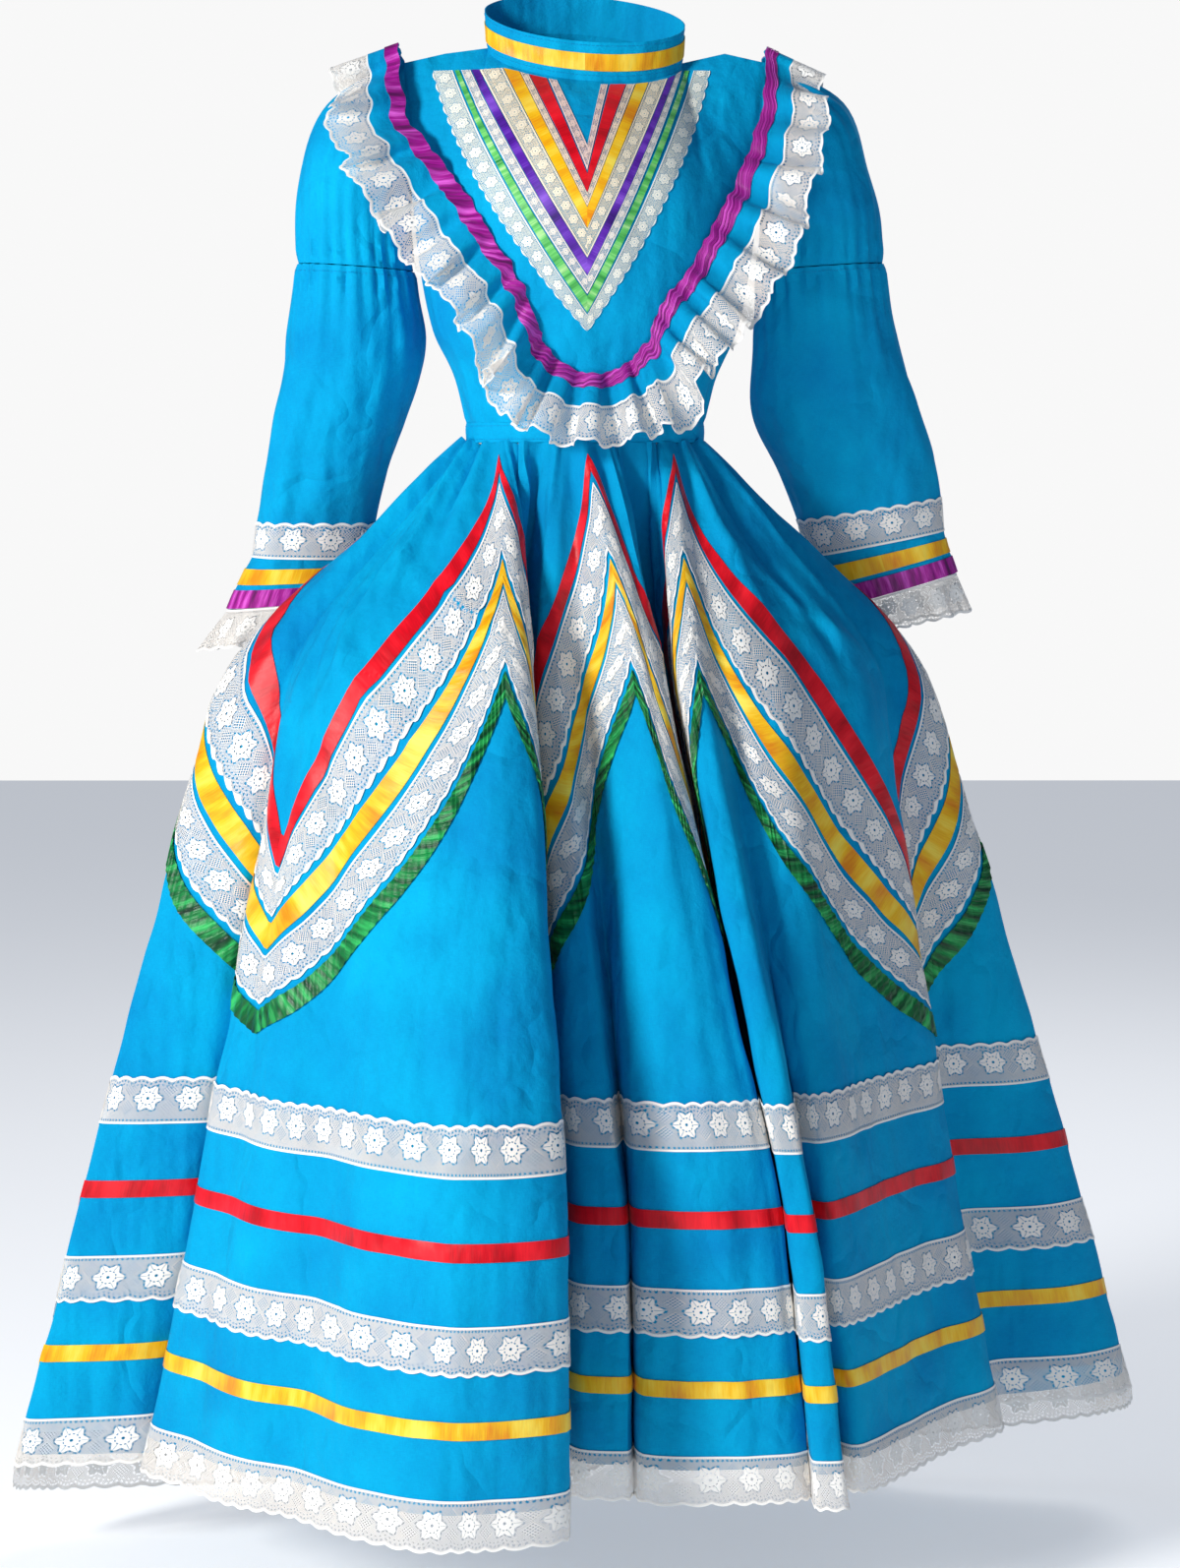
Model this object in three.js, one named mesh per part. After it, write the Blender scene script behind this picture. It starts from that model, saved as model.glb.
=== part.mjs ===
// Folklorico dress in the Jalisco style, filled out as if it were worn, with nobody in it:
// a flared gathered skirt with zigzag and level bands, a bodice with a V of ribbons, a
// gathered ruffle round the shoulders, puffed sleeves with frilled cuffs, a standing collar.
// Millimetres, +Z up, the front towards -Y. The origin is at the neck base.

import * as THREE from 'three';

// Walls and gaps
const CLOTH_WALL = 1.2;
const TRIM_WALL = 1.0;
const SEAM_GAP = 0.3;
const TRIM_GAP = 0.4;

// Heights of the seams and of the skirt's guide levels
const COLLAR_HEIGHT = 34;
const BUST_Z = -140;
const WAISTBAND_TOP_Z = -334;
const WAIST_Z = -352;
const HIP_Z = -540;
const BAND_Z = -1010;
const HEM_Z = -1250;
const CLOTH_END_Z = -1228;       // below it the hem's lace hangs free

// Skirt
const WAIST = { halfWidth: 106, front: 83, back: 70 };
const HEM_SPREAD = { x: 1.14, front: 0.98, back: 1.12 };
const SIDE_LIFT = 14;         // the right side hangs this much higher for each 500 mm out
const BACK_DROP = 100;        // the back of the hem hangs this much lower
const GATHER_DEPTH = 3;
const GATHER_RUN = 110;

// Turning points of the zigzags, a peak and a valley in turn, as shares of the way round, and
// how much lower one valley hangs than the rest
const CHEVRON_TURNS = [-0.28125, -0.2, -0.125, -0.0625, 0, 0.0625, 0.125, 0.205, 0.28125, 0.34375,
  0.40625, 0.5, 0.59375, 0.65625, 0.71875, 0.8];
const LOW_VALLEY = { share: 0.205, drop: 30 };

// Fold lines of the skirt's front, from the left side seam to the right one. share is the
// part of the way round from the centre front; hip and band are where the line passes at
// HIP_Z and BAND_Z.
const FRONT_FOLDS = [
  { share: -0.2500, hipX: -325, hipY: -15, bandX: -450, bandY: -77 },
  { share: -0.2260, hipX: -272, hipY: -78, bandX: -352, bandY: -72 },
  { share: -0.2200, hipX: -262, hipY: -84, bandX: -330, bandY: -52 },
  { share: -0.2140, hipX: -254, hipY: -98, bandX: -346, bandY: -96 },
  { share: -0.2000, hipX: -238, hipY: -124, bandX: -305, bandY: -165 },
  { share: -0.1875, hipX: -225, hipY: -142, bandX: -270, bandY: -222 },
  { share: -0.1720, hipX: -196, hipY: -160, bandX: -222, bandY: -262 },
  { share: -0.1560, hipX: -150, hipY: -178, bandX: -168, bandY: -330 },
  { share: -0.1400, hipX: -106, hipY: -196, bandX: -104, bandY: -376 },
  { share: -0.1250, hipX: -68, hipY: -208, bandX: -56, bandY: -374 },
  { share: -0.1160, hipX: -50, hipY: -202, bandX: -14, bandY: -352 },
  { share: -0.1100, hipX: -46, hipY: -184, bandX: -14, bandY: -318 },
  { share: -0.0860, hipX: -62, hipY: -130, bandX: -42, bandY: -225 },
  { share: -0.0625, hipX: -80, hipY: -86, bandX: -66, bandY: -140 },
  { share: -0.0560, hipX: -62, hipY: -84, bandX: -42, bandY: -134 },
  { share: -0.0360, hipX: -42, hipY: -140, bandX: 0, bandY: -232 },
  { share: -0.0280, hipX: -28, hipY: -150, bandX: 32, bandY: -240 },
  { share: -0.0170, hipX: -4, hipY: -138, bandX: 38, bandY: -196 },
  { share: -0.0060, hipX: 26, hipY: -168, bandX: 46, bandY: -248 },
  { share: 0.0000, hipX: 43, hipY: -186, bandX: 82, bandY: -262 },
  { share: 0.0120, hipX: 54, hipY: -186, bandX: 130, bandY: -262 },
  { share: 0.0280, hipX: 62, hipY: -174, bandX: 168, bandY: -250 },
  { share: 0.0450, hipX: 58, hipY: -122, bandX: 158, bandY: -180 },
  { share: 0.0625, hipX: 50, hipY: -76, bandX: 144, bandY: -110 },
  { share: 0.0760, hipX: 68, hipY: -72, bandX: 166, bandY: -100 },
  { share: 0.0980, hipX: 74, hipY: -128, bandX: 174, bandY: -192 },
  { share: 0.1160, hipX: 78, hipY: -172, bandX: 174, bandY: -284 },
  { share: 0.1250, hipX: 94, hipY: -178, bandX: 194, bandY: -286 },
  { share: 0.1350, hipX: 112, hipY: -160, bandX: 194, bandY: -216 },
  { share: 0.1480, hipX: 140, hipY: -158, bandX: 208, bandY: -236 },
  { share: 0.1680, hipX: 192, hipY: -130, bandX: 248, bandY: -176 },
  { share: 0.1875, hipX: 234, hipY: -92, bandX: 292, bandY: -102 },
  { share: 0.2050, hipX: 262, hipY: -50, bandX: 332, bandY: -42 },
  { share: 0.2140, hipX: 262, hipY: -26, bandX: 324, bandY: 4 },
  { share: 0.2240, hipX: 276, hipY: -10, bandX: 342, bandY: 36 },
  { share: 0.2380, hipX: 296, hipY: 10, bandX: 410, bandY: 46 },
  { share: 0.2500, hipX: 308, hipY: 34, bandX: 452, bandY: 78 },
];

// The back is laid out in equal steps from the right side seam to the left one. Each of its
// troughs is two lines wide, starting at the line named first.
const BACK_STEPS = 16;
const BACK_FOLDS = [
  { first: 2, depth: 70 },
  { first: 5, depth: 92 },
  { first: 8, depth: 66 },
  { first: 10, depth: 86 },
  { first: 13, depth: 74 },
];
const BACK_EVENNESS = 0.22;   // spreads the lines evenly round the flat oval of the back
const BACK_HIP = { depth: 112, fold: 0.3 };
const BACK_BAND = { depth: 240, fold: 1 };

// Zigzag bands, from the top down: heights of the upper and lower edge at a peak, halfway
// down an arm, and at a valley.
const ZIGZAG_BANDS = [
  { name: 'chevron_ribbon_red', slot: 'satin_red',
    upper: { peak: -364, mid: -502, valley: -697 }, lower: { peak: -379, mid: -538, valley: -723 } },
  { name: 'chevron_lace_upper', slot: 'lace_white',
    upper: { peak: -389, mid: -546, valley: -729 }, lower: { peak: -447, mid: -634, valley: -764 } },
  { name: 'chevron_ribbon_yellow', slot: 'satin_yellow',
    upper: { peak: -454, mid: -642, valley: -769 }, lower: { peak: -473, mid: -673, valley: -791 } },
  { name: 'chevron_lace_lower', slot: 'lace_white',
    upper: { peak: -479, mid: -681, valley: -797 }, lower: { peak: -540, mid: -736, valley: -838 } },
  { name: 'chevron_ribbon_green', slot: 'satin_green',
    upper: { peak: -547, mid: -742, valley: -843 }, lower: { peak: -568, mid: -766, valley: -863 } },
];

// Level bands round the lower skirt. The hem lace hangs past the cloth.
const LEVEL_BANDS = [
  { name: 'skirt_lace_upper', slot: 'lace_white', upper: -911, lower: -953 },
  { name: 'skirt_ribbon_red', slot: 'satin_red', upper: -1003, lower: -1018 },
  { name: 'skirt_lace_middle', slot: 'lace_white', upper: -1070, lower: -1112 },
  { name: 'skirt_ribbon_yellow', slot: 'satin_yellow', upper: -1150, lower: -1165 },
  { name: 'hem_lace', slot: 'lace_white', upper: -1216, lower: -1260 },
];

// Bodice rings below the armholes
const TORSO_RINGS = [
  { z: BUST_Z, halfWidth: 153, front: 116, back: 72 },
  { z: -190, halfWidth: 148, front: 121, back: 70 },
  { z: -250, halfWidth: 136, front: 111, back: 64 },
  { z: -292, halfWidth: 117, front: 97, back: 64 },
  { z: WAISTBAND_TOP_Z, halfWidth: 106, front: 84, back: 69 },
];
const NECK = { halfWidth: 86, front: 44, back: 40, z: -8, forwardSlope: 0.6, sideSlope: -0.08 };
const BODICE_COLUMNS = 16;
const NECK_SHARE = 0.5;

// The top edge of one shoulder, from the neck to the armpit. side is the part of the way
// from the centre to the side seam; bow is how far the armhole stands off the mid-plane.
const SHOULDER_EDGE = [
  { side: 0.625, x: 125, z: -6, bow: 0 },
  { side: 0.75, x: 161, z: -14, bow: 0 },
  { side: 0.875, x: 160, z: -78, bow: 32 },
  { side: 1, x: 153.5, z: -133, bow: 0 },
];

// Edges of the bands in the V yoke: where each line starts on the left and right at the
// neck and shoulder, halfway down, and its tip on the centre line.
const YOKE_TIP_X = 2;
const YOKE_BANDS = [
  { name: 'yoke_lace_inner', slot: 'lace_white',
    inner: { left: -25, right: 14, mid: 0.5, tip: -96 }, outer: { left: -32, right: 20, mid: 0.5, tip: -118 } },
  { name: 'yoke_ribbon_red', slot: 'satin_red',
    inner: { left: -34, right: 22, mid: 0.5, tip: -121 }, outer: { left: -49, right: 36, mid: 0.5, tip: -137 } },
  { name: 'yoke_lace_red', slot: 'lace_white',
    inner: { left: -50, right: 37, mid: 0.51, tip: -138 }, outer: { left: -57, right: 44, mid: 0.51, tip: -149 } },
  { name: 'yoke_ribbon_yellow', slot: 'satin_yellow',
    inner: { left: -58, right: 45, mid: 0.51, tip: -150 }, outer: { left: -72, right: 56, mid: 0.52, tip: -168 } },
  { name: 'yoke_lace_yellow', slot: 'lace_white',
    inner: { left: -73, right: 57, mid: 0.52, tip: -169 }, outer: { left: -93, right: 73, mid: 0.54, tip: -193 } },
  { name: 'yoke_ribbon_purple', slot: 'satin_purple',
    inner: { left: -94, right: 74, mid: 0.54, tip: -194 }, outer: { left: -101, right: 80, mid: 0.55, tip: -208 } },
  { name: 'yoke_lace_purple', slot: 'lace_white',
    inner: { left: -102, right: 81, mid: 0.55, tip: -209 }, outer: { left: -110, right: 86, mid: 0.57, tip: -224 } },
  { name: 'yoke_ribbon_green', slot: 'satin_green',
    inner: { left: -112, right: 89, mid: 0.57, tip: -226 }, outer: { left: -116, right: 93, mid: 0.58, tip: -240 } },
  { name: 'yoke_lace_outer', slot: 'lace_white',
    inner: { left: -118, right: 97, mid: 0.58, tip: -242 }, outer: { left: -137, right: 112, mid: 0.64, tip: -257 } },
];
const YOKE_TOP_Z = -22;        // or this far below the neckline, where that is lower
const YOKE_BELOW_NECK = 5;
const YOKE_EASE = 2.0;        // lets the straight facets of a band clear the chest's ridges
const YOKE_STEPS = 11;
const YOKE_STRIP = 12;        // widest strip across a band

// Gather line and outer edge of the shoulder ruffle, from the left shoulder round the front
// to the right shoulder, and round the back to the left again. Where the gather line crosses
// the chest it comes forward on to it.
const RUFFLE_FRONT = [
  { x: -166, y: -4, z: 0, outX: -222, outY: -8, outZ: -34 },
  { x: -158, y: -42, z: -64, outX: -226, outY: -66, outZ: -78 },
  { x: -128, y: -70, z: -104, outX: -196, outY: -92, outZ: -136 },
  { x: -98, y: -89, z: -146, outX: -164, outY: -112, outZ: -186 },
  { x: -72, y: -97, z: -188, outX: -124, outY: -128, outZ: -228 },
  { x: -50, y: -100, z: -226, outX: -96, outY: -134, outZ: -276 },
  { x: -34, y: -97, z: -268, outX: -74, outY: -130, outZ: -326 },
  { x: -8, y: -94, z: -290, outX: -30, outY: -128, outZ: -350 },
  { x: 26, y: -94, z: -290, outX: 34, outY: -128, outZ: -352 },
  { x: 52, y: -94, z: -268, outX: 84, outY: -128, outZ: -330 },
  { x: 68, y: -99, z: -232, outX: 116, outY: -130, outZ: -286 },
  { x: 92, y: -94, z: -200, outX: 146, outY: -120, outZ: -246 },
  { x: 116, y: -83, z: -158, outX: 182, outY: -102, outZ: -196 },
  { x: 138, y: -65, z: -112, outX: 202, outY: -82, outZ: -132 },
  { x: 156, y: -44, z: -66, outX: 216, outY: -66, outZ: -72 },
  { x: 162, y: -4, z: -2, outX: 212, outY: -8, outZ: -30 },
];
const RUFFLE_BACK = [
  { x: 160, y: 20, z: -14, outX: 216, outY: 40, outZ: -34 },
  { x: 150, y: 42, z: -60, outX: 206, outY: 76, outZ: -74 },
  { x: 110, y: 66, z: -112, outX: 142, outY: 84, outZ: -168 },
  { x: 52, y: 78, z: -146, outX: 66, outY: 92, outZ: -210 },
  { x: -6, y: 80, z: -156, outX: -6, outY: 94, outZ: -220 },
  { x: -62, y: 78, z: -142, outX: -76, outY: 92, outZ: -206 },
  { x: -114, y: 66, z: -108, outX: -148, outY: 84, outZ: -164 },
  { x: -152, y: 42, z: -58, outX: -208, outY: 76, outZ: -72 },
  { x: -163, y: 20, z: -14, outX: -220, outY: 40, outZ: -36 },
];
const RUFFLE_WAVES = { front: 22, back: 12 };
const RUFFLE_AMPLITUDE = { gather: 1.6, edge: 11 };
const RUFFLE_SEAT = 2.4;      // from the chest to the middle of the gathers
const RUFFLE_RIBBON_SHARE = 0.2;
const RUFFLE_LACE_SHARE = 0.44;

// Sleeve sections from the armhole down. tilt turns the section from level towards upright,
// outer side up; halfWidth is across, halfDepth front to back.
const SLEEVE_SECTIONS = {
  left: {
    puff: [
      { x: -164.4, y: 0, z: -78, tilt: 82, halfWidth: 57, halfDepth: 33 },
      { x: -194, y: 2, z: -97, tilt: 52, halfWidth: 59, halfDepth: 44 },
      { x: -206, y: 5, z: -130, tilt: 26, halfWidth: 53, halfDepth: 48 },
      { x: -208, y: 10, z: -165, tilt: 9, halfWidth: 51, halfDepth: 46 },
      { x: -207, y: 14, z: -194, tilt: 4, halfWidth: 50, halfDepth: 40 },
    ],
    sleeve: [
      { x: -207, y: 14, z: -195, tilt: 4, halfWidth: 51, halfDepth: 41 },
      { x: -209, y: 32, z: -272, tilt: 0, halfWidth: 61, halfDepth: 43 },
      { x: -227, y: 50, z: -330, tilt: 0, halfWidth: 60, halfDepth: 41 },
      { x: -238, y: 68, z: -374, tilt: 0, halfWidth: 56, halfDepth: 38 },
      { x: -250, y: 89, z: -424, tilt: 0, halfWidth: 54, halfDepth: 35 },
      { x: -256, y: 103, z: -458, tilt: 0, halfWidth: 54, halfDepth: 34 },
      { x: -261, y: 108, z: -467, tilt: -2, halfWidth: 56, halfDepth: 34 },
      { x: -266, y: 112, z: -481, tilt: -3, halfWidth: 59, halfDepth: 34 },
      { x: -268, y: 113, z: -485, tilt: -4, halfWidth: 60, halfDepth: 34 },
      { x: -274, y: 118, z: -501, tilt: -5, halfWidth: 62, halfDepth: 34 },
    ],
    frillEnd: { x: -286, y: 124, z: -536, tilt: -8, halfWidth: 76, halfDepth: 38 },
  },
  right: {
    puff: [
      { x: 164.4, y: 0, z: -78, tilt: 82, halfWidth: 57, halfDepth: 33 },
      { x: 194, y: 2, z: -97, tilt: 52, halfWidth: 59, halfDepth: 44 },
      { x: 206, y: 5, z: -130, tilt: 26, halfWidth: 53, halfDepth: 48 },
      { x: 212, y: 10, z: -165, tilt: 9, halfWidth: 54, halfDepth: 47 },
      { x: 212, y: 14, z: -194, tilt: 4, halfWidth: 55, halfDepth: 42 },
    ],
    sleeve: [
      { x: 212, y: 14, z: -195, tilt: 4, halfWidth: 56, halfDepth: 43 },
      { x: 219, y: 28, z: -256, tilt: 3, halfWidth: 62, halfDepth: 45 },
      { x: 230, y: 46, z: -322, tilt: 3, halfWidth: 74, halfDepth: 44 },
      { x: 250, y: 64, z: -372, tilt: 6, halfWidth: 70, halfDepth: 40 },
      { x: 262, y: 80, z: -411, tilt: 9, halfWidth: 66, halfDepth: 37 },
      { x: 270, y: 94, z: -445, tilt: 11, halfWidth: 64, halfDepth: 35 },
      { x: 273, y: 98, z: -454, tilt: 13, halfWidth: 64, halfDepth: 35 },
      { x: 278, y: 103, z: -469, tilt: 15, halfWidth: 64, halfDepth: 35 },
      { x: 280, y: 105, z: -473, tilt: 15, halfWidth: 64, halfDepth: 35 },
      { x: 286, y: 110, z: -489, tilt: 16, halfWidth: 64, halfDepth: 35 },
    ],
    frillEnd: { x: 292, y: 118, z: -524, tilt: 12, halfWidth: 68, halfDepth: 40 },
  },
};
const CUFF_TRIMS = [
  { name: 'cuff_lace', slot: 'lace_white', from: 4 },
  { name: 'cuff_ribbon_yellow', slot: 'satin_yellow', from: 6 },
  { name: 'cuff_ribbon_magenta', slot: 'satin_magenta', from: 8 },
];
const SLEEVE_COLUMNS = 14;
const FRILL_WAVES = 9;
const FRILL_AMPLITUDE = 6;

const MATERIALS = {
  cloth_blue: new THREE.MeshStandardMaterial({ color: 0x1499d6, roughness: 0.85, metalness: 0 }),
  lace_white: new THREE.MeshStandardMaterial({ color: 0xf3eee6, roughness: 0.9, metalness: 0 }),
  satin_red: new THREE.MeshStandardMaterial({ color: 0xdd0f1e, roughness: 0.4, metalness: 0 }),
  satin_yellow: new THREE.MeshStandardMaterial({ color: 0xf7c21a, roughness: 0.4, metalness: 0 }),
  satin_magenta: new THREE.MeshStandardMaterial({ color: 0xc9279b, roughness: 0.4, metalness: 0 }),
  satin_green: new THREE.MeshStandardMaterial({ color: 0x138a3d, roughness: 0.45, metalness: 0 }),
  satin_purple: new THREE.MeshStandardMaterial({ color: 0x5a2ba6, roughness: 0.45, metalness: 0 }),
};

const dress = new THREE.Group();

const lerp = THREE.MathUtils.lerp;
const vector = (x, y, z) => new THREE.Vector3(x, y, z);

// The direction that leans the least away from any of the facets that meet at a point: the
// mean of them, drawn again and again towards the one that it leans away from most
const DIRECTION_STEPS = 60;

function evenDirection(normals) {
  const direction = normals.reduce((sum, normal) => sum.add(normal), vector(0, 0, 0)).normalize();
  for (let n = 1; n <= DIRECTION_STEPS; n++) {
    const furthest = normals.reduce((a, b) => (b.dot(direction) < a.dot(direction) ? b : a), direction);
    direction.addScaledVector(furthest, 1 / (n + 2)).normalize();
  }
  return direction;
}

// Each cell of a sheet is cut along the shorter of its diagonals
const shortWay = (points, v, u, next) =>
  points[v][u].distanceTo(points[v + 1][next]) <= points[v + 1][u].distanceTo(points[v][next]);

// A sheet is a grid of points, rows from the top down, each row seen from outside from left
// to right, with the direction in which its wall grows at each point.
function sheetFrom(points, closed) {
  const rows = points.length;
  const columns = points[0].length;
  const touching = points.map((line) => line.map(() => []));
  const addFacet = (corners) => {
    const normal = new THREE.Triangle(...corners.map(([v, u]) => points[v][u])).getNormal(vector(0, 0, 0));
    if (normal.lengthSq() > 0.5) corners.forEach(([v, u]) => touching[v][u].push(normal));
  };
  for (let v = 0; v < rows - 1; v++) {
    for (let u = 0; u < (closed ? columns : columns - 1); u++) {
      const next = (u + 1) % columns;
      const [a, b, c, d] = [[v, u], [v + 1, u], [v + 1, next], [v, next]];
      const facets = shortWay(points, v, u, next) ? [[a, b, c], [a, c, d]] : [[a, b, d], [b, c, d]];
      facets.forEach(addFacet);
    }
  }
  const outward = touching.map((line) => line.map(evenDirection));
  return { points, outward, closed };
}

// A row of a sheet, or a line part of the way on to the next row
function rowBetween(sheet, v, part) {
  const mix = (lines) => lines[v].map((value, u) => value.clone().lerp(lines[v + 1][u], part));
  return { points: mix(sheet.points), outward: mix(sheet.outward) };
}

// Makes the wall grow level along one row, so that its edge meets the next piece squarely
function levelEdge(sheet, v) {
  sheet.outward[v].forEach((direction) => direction.setZ(0).normalize());
  return sheet;
}

function sheetOfRows(lines, closed) {
  return { points: lines.map((line) => line.points), outward: lines.map((line) => line.outward), closed };
}

// Columns from one fold line to another, drawn back from the seam at each end by half its gap
function columnsOf(sheet, first, last) {
  const width = sheet.points[0].length;
  const take = (lines) => lines.map((line) =>
    Array.from({ length: last - first + 1 }, (_, n) => line[(first + n) % width].clone()));
  const points = take(sheet.points);
  const drawBack = (column, next) => points.map((line, v) => {
    const above = points[Math.max(v - 1, 0)][column];
    const below = points[Math.min(v + 1, points.length - 1)][column];
    const seam = below.clone().sub(above).normalize();
    const across = line[next].clone().sub(line[column]);
    return across.addScaledVector(seam, -across.dot(seam)).setLength(SEAM_GAP / 2);
  });
  for (const [column, next] of [[0, 1], [last - first, last - first - 1]]) {
    drawBack(column, next).forEach((shift, v) => points[v][column].add(shift));
  }
  return { points, outward: take(sheet.outward), closed: false };
}

// Closed solid between two distances from a sheet
function wall(sheet, from, to) {
  const rows = sheet.points.length;
  const columns = sheet.points[0].length;
  const positions = [];
  for (const distance of [to, from]) {
    sheet.points.forEach((line, v) => line.forEach((point, u) => {
      const moved = point.clone().addScaledVector(sheet.outward[v][u], distance);
      positions.push(moved.x, moved.y, moved.z);
    }));
  }
  const outer = (v, u) => v * columns + (u % columns);
  const inner = (v, u) => rows * columns + outer(v, u);
  const index = [];
  const quad = (a, b, c, d, turned = false) => (
    turned ? index.push(a, b, d, b, c, d) : index.push(a, b, c, a, c, d));
  const strips = sheet.closed ? columns : columns - 1;
  for (let u = 0; u < strips; u++) {
    for (let v = 0; v < rows - 1; v++) {
      const turned = !shortWay(sheet.points, v, u, (u + 1) % columns);
      quad(outer(v, u), outer(v + 1, u), outer(v + 1, u + 1), outer(v, u + 1), turned);
      quad(inner(v, u), inner(v, u + 1), inner(v + 1, u + 1), inner(v + 1, u), turned);
    }
    quad(outer(0, u), outer(0, u + 1), inner(0, u + 1), inner(0, u));
    const end = rows - 1;
    quad(outer(end, u + 1), outer(end, u), inner(end, u), inner(end, u + 1));
  }
  if (!sheet.closed) {
    const last = columns - 1;
    for (let v = 0; v < rows - 1; v++) {
      quad(outer(v + 1, 0), outer(v, 0), inner(v, 0), inner(v + 1, 0));
      quad(outer(v + 1, last), inner(v + 1, last), inner(v, last), outer(v, last));
    }
  }
  const geometry = new THREE.BufferGeometry();
  geometry.setAttribute('position', new THREE.Float32BufferAttribute(positions, 3));
  geometry.setIndex(index);
  return geometry;
}

function addPiece(name, slot, geometry) {
  const mesh = new THREE.Mesh(geometry, MATERIALS[slot]);
  mesh.name = name;
  dress.add(mesh);
}

const addCloth = (name, sheet) => addPiece(name, 'cloth_blue', wall(sheet, 0, CLOTH_WALL));

function addTrim(name, slot, sheet, ground = CLOTH_WALL) {
  const lift = ground + TRIM_GAP;
  addPiece(name, slot, wall(sheet, lift, lift + TRIM_WALL));
}

// Skirt: where a fold line passes at each height
function waistPoint(share) {
  const angle = 2 * Math.PI * share;
  const depth = Math.cos(angle) > 0 ? WAIST.front : WAIST.back;
  return { x: WAIST.halfWidth * Math.sin(angle), y: -depth * Math.cos(angle) };
}

function backFoldPoint(level, right, left, step) {
  const even = Math.PI * step / BACK_STEPS;
  const angle = even + BACK_EVENNESS * Math.sin(2 * even);
  const trough = BACK_FOLDS.find((fold) => step === fold.first || step === fold.first + 1);
  const depth = trough ? trough.depth * level.fold : 0;
  const x = lerp(left.x, right.x, (1 + Math.cos(angle)) / 2);
  const y = lerp(right.y, left.y, step / BACK_STEPS) + level.depth * Math.sin(angle);
  const shrink = 1 - depth / Math.hypot(x, y);
  return { x: x * shrink, y: y * shrink };
}

const atHip = (fold) => ({ x: fold.hipX, y: fold.hipY });
const atBand = (fold) => ({ x: fold.bandX, y: fold.bandY });

function skirtFoldLines() {
  const lines = FRONT_FOLDS.map((fold) => ({ ...fold }));
  const right = FRONT_FOLDS[FRONT_FOLDS.length - 1];
  const left = FRONT_FOLDS[0];
  for (let step = 1; step < BACK_STEPS; step++) {
    const hip = backFoldPoint(BACK_HIP, atHip(right), atHip(left), step);
    const band = backFoldPoint(BACK_BAND, atBand(right), atBand(left), step);
    const share = 0.25 + 0.5 * step / BACK_STEPS;
    lines.push({ share, hipX: hip.x, hipY: hip.y, bandX: band.x, bandY: band.y });
  }
  return lines;
}

function skirtPoint(fold, z, number) {
  const waist = waistPoint(fold.share);
  const hemY = fold.bandY * (fold.bandY < 0 ? HEM_SPREAD.front : HEM_SPREAD.back);
  const levels = [
    { z: WAIST_Z, x: waist.x, y: waist.y },
    { z: HIP_Z, x: fold.hipX, y: fold.hipY },
    { z: BAND_Z, x: fold.bandX, y: fold.bandY },
    { z: HEM_Z, x: fold.bandX * HEM_SPREAD.x, y: hemY },
  ];
  const above = z > HIP_Z ? 0 : z > BAND_Z ? 1 : 2;
  const upper = levels[above];
  const lower = levels[above + 1];
  const part = (upper.z - z) / (upper.z - lower.z);
  const x = lerp(upper.x, lower.x, part);
  const y = lerp(upper.y, lower.y, part);
  const gather = GATHER_DEPTH * Math.max(0, 1 - (WAIST_Z - z) / GATHER_RUN) * [1, 0, -1, 0][number % 4];
  const swell = 1 + gather / Math.hypot(x, y);
  const downSkirt = (WAIST_Z - z) / (WAIST_Z - HEM_Z);
  const behind = Math.max(0, fold.share - 0.25) * 2;
  const drop = behind > 0 ? BACK_DROP * Math.sqrt(Math.sin(Math.PI * behind)) : 0;
  return vector(x * swell, y * swell, z + downSkirt * (SIDE_LIFT * x / 500 - drop));
}

// Height of a zigzag line: a smooth arm from each peak to the next valley
function zigzagHeight(edge, share) {
  const next = CHEVRON_TURNS.findIndex((turn) => turn > share);
  const [from, to] = [CHEVRON_TURNS[next - 1], CHEVRON_TURNS[next]];
  const part = (share - from) / (to - from);
  const fromPeak = next % 2 ? part : 1 - part;
  const low = (next % 2 ? to : from) === LOW_VALLEY.share ? LOW_VALLEY.drop : 0;
  const valley = edge.valley - low;
  const bend = edge.mid - (edge.peak + edge.valley) / 2;
  return lerp(edge.peak, valley, fromPeak) + 4 * bend * fromPeak * (1 - fromPeak);
}

const foldLines = skirtFoldLines();
const skirtHeights = [() => WAIST_Z];
skirtHeights.push((share) => (WAIST_Z + zigzagHeight(ZIGZAG_BANDS[0].upper, share)) / 2);
ZIGZAG_BANDS.forEach((band) => {
  skirtHeights.push((share) => zigzagHeight(band.upper, share), (share) => zigzagHeight(band.lower, share));
});
LEVEL_BANDS.forEach((band) => skirtHeights.push(() => band.upper, () => Math.max(band.lower, CLOTH_END_Z)));
const skirtRows = skirtHeights.map((height) =>
  foldLines.map((fold, u) => skirtPoint(fold, height(fold.share), u)));
const skirt = levelEdge(sheetFrom(skirtRows, true), 0);

const sideSeam = FRONT_FOLDS.length - 1;
addCloth('skirt_front', columnsOf(skirt, 0, sideSeam));
addCloth('skirt_back', columnsOf(skirt, sideSeam, foldLines.length));

const FIRST_BAND_ROW = 2;
[...ZIGZAG_BANDS, ...LEVEL_BANDS].forEach((band, number) => {
  const row = FIRST_BAND_ROW + 2 * number;
  const hangs = band.lower < CLOTH_END_Z;
  const pastHem = hangs ? (band.upper - band.lower) / (band.upper - CLOTH_END_Z) : 1;
  addTrim(band.name, band.slot, sheetOfRows([rowBetween(skirt, row, 0), rowBetween(skirt, row, pastHem)], true));
});

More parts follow.
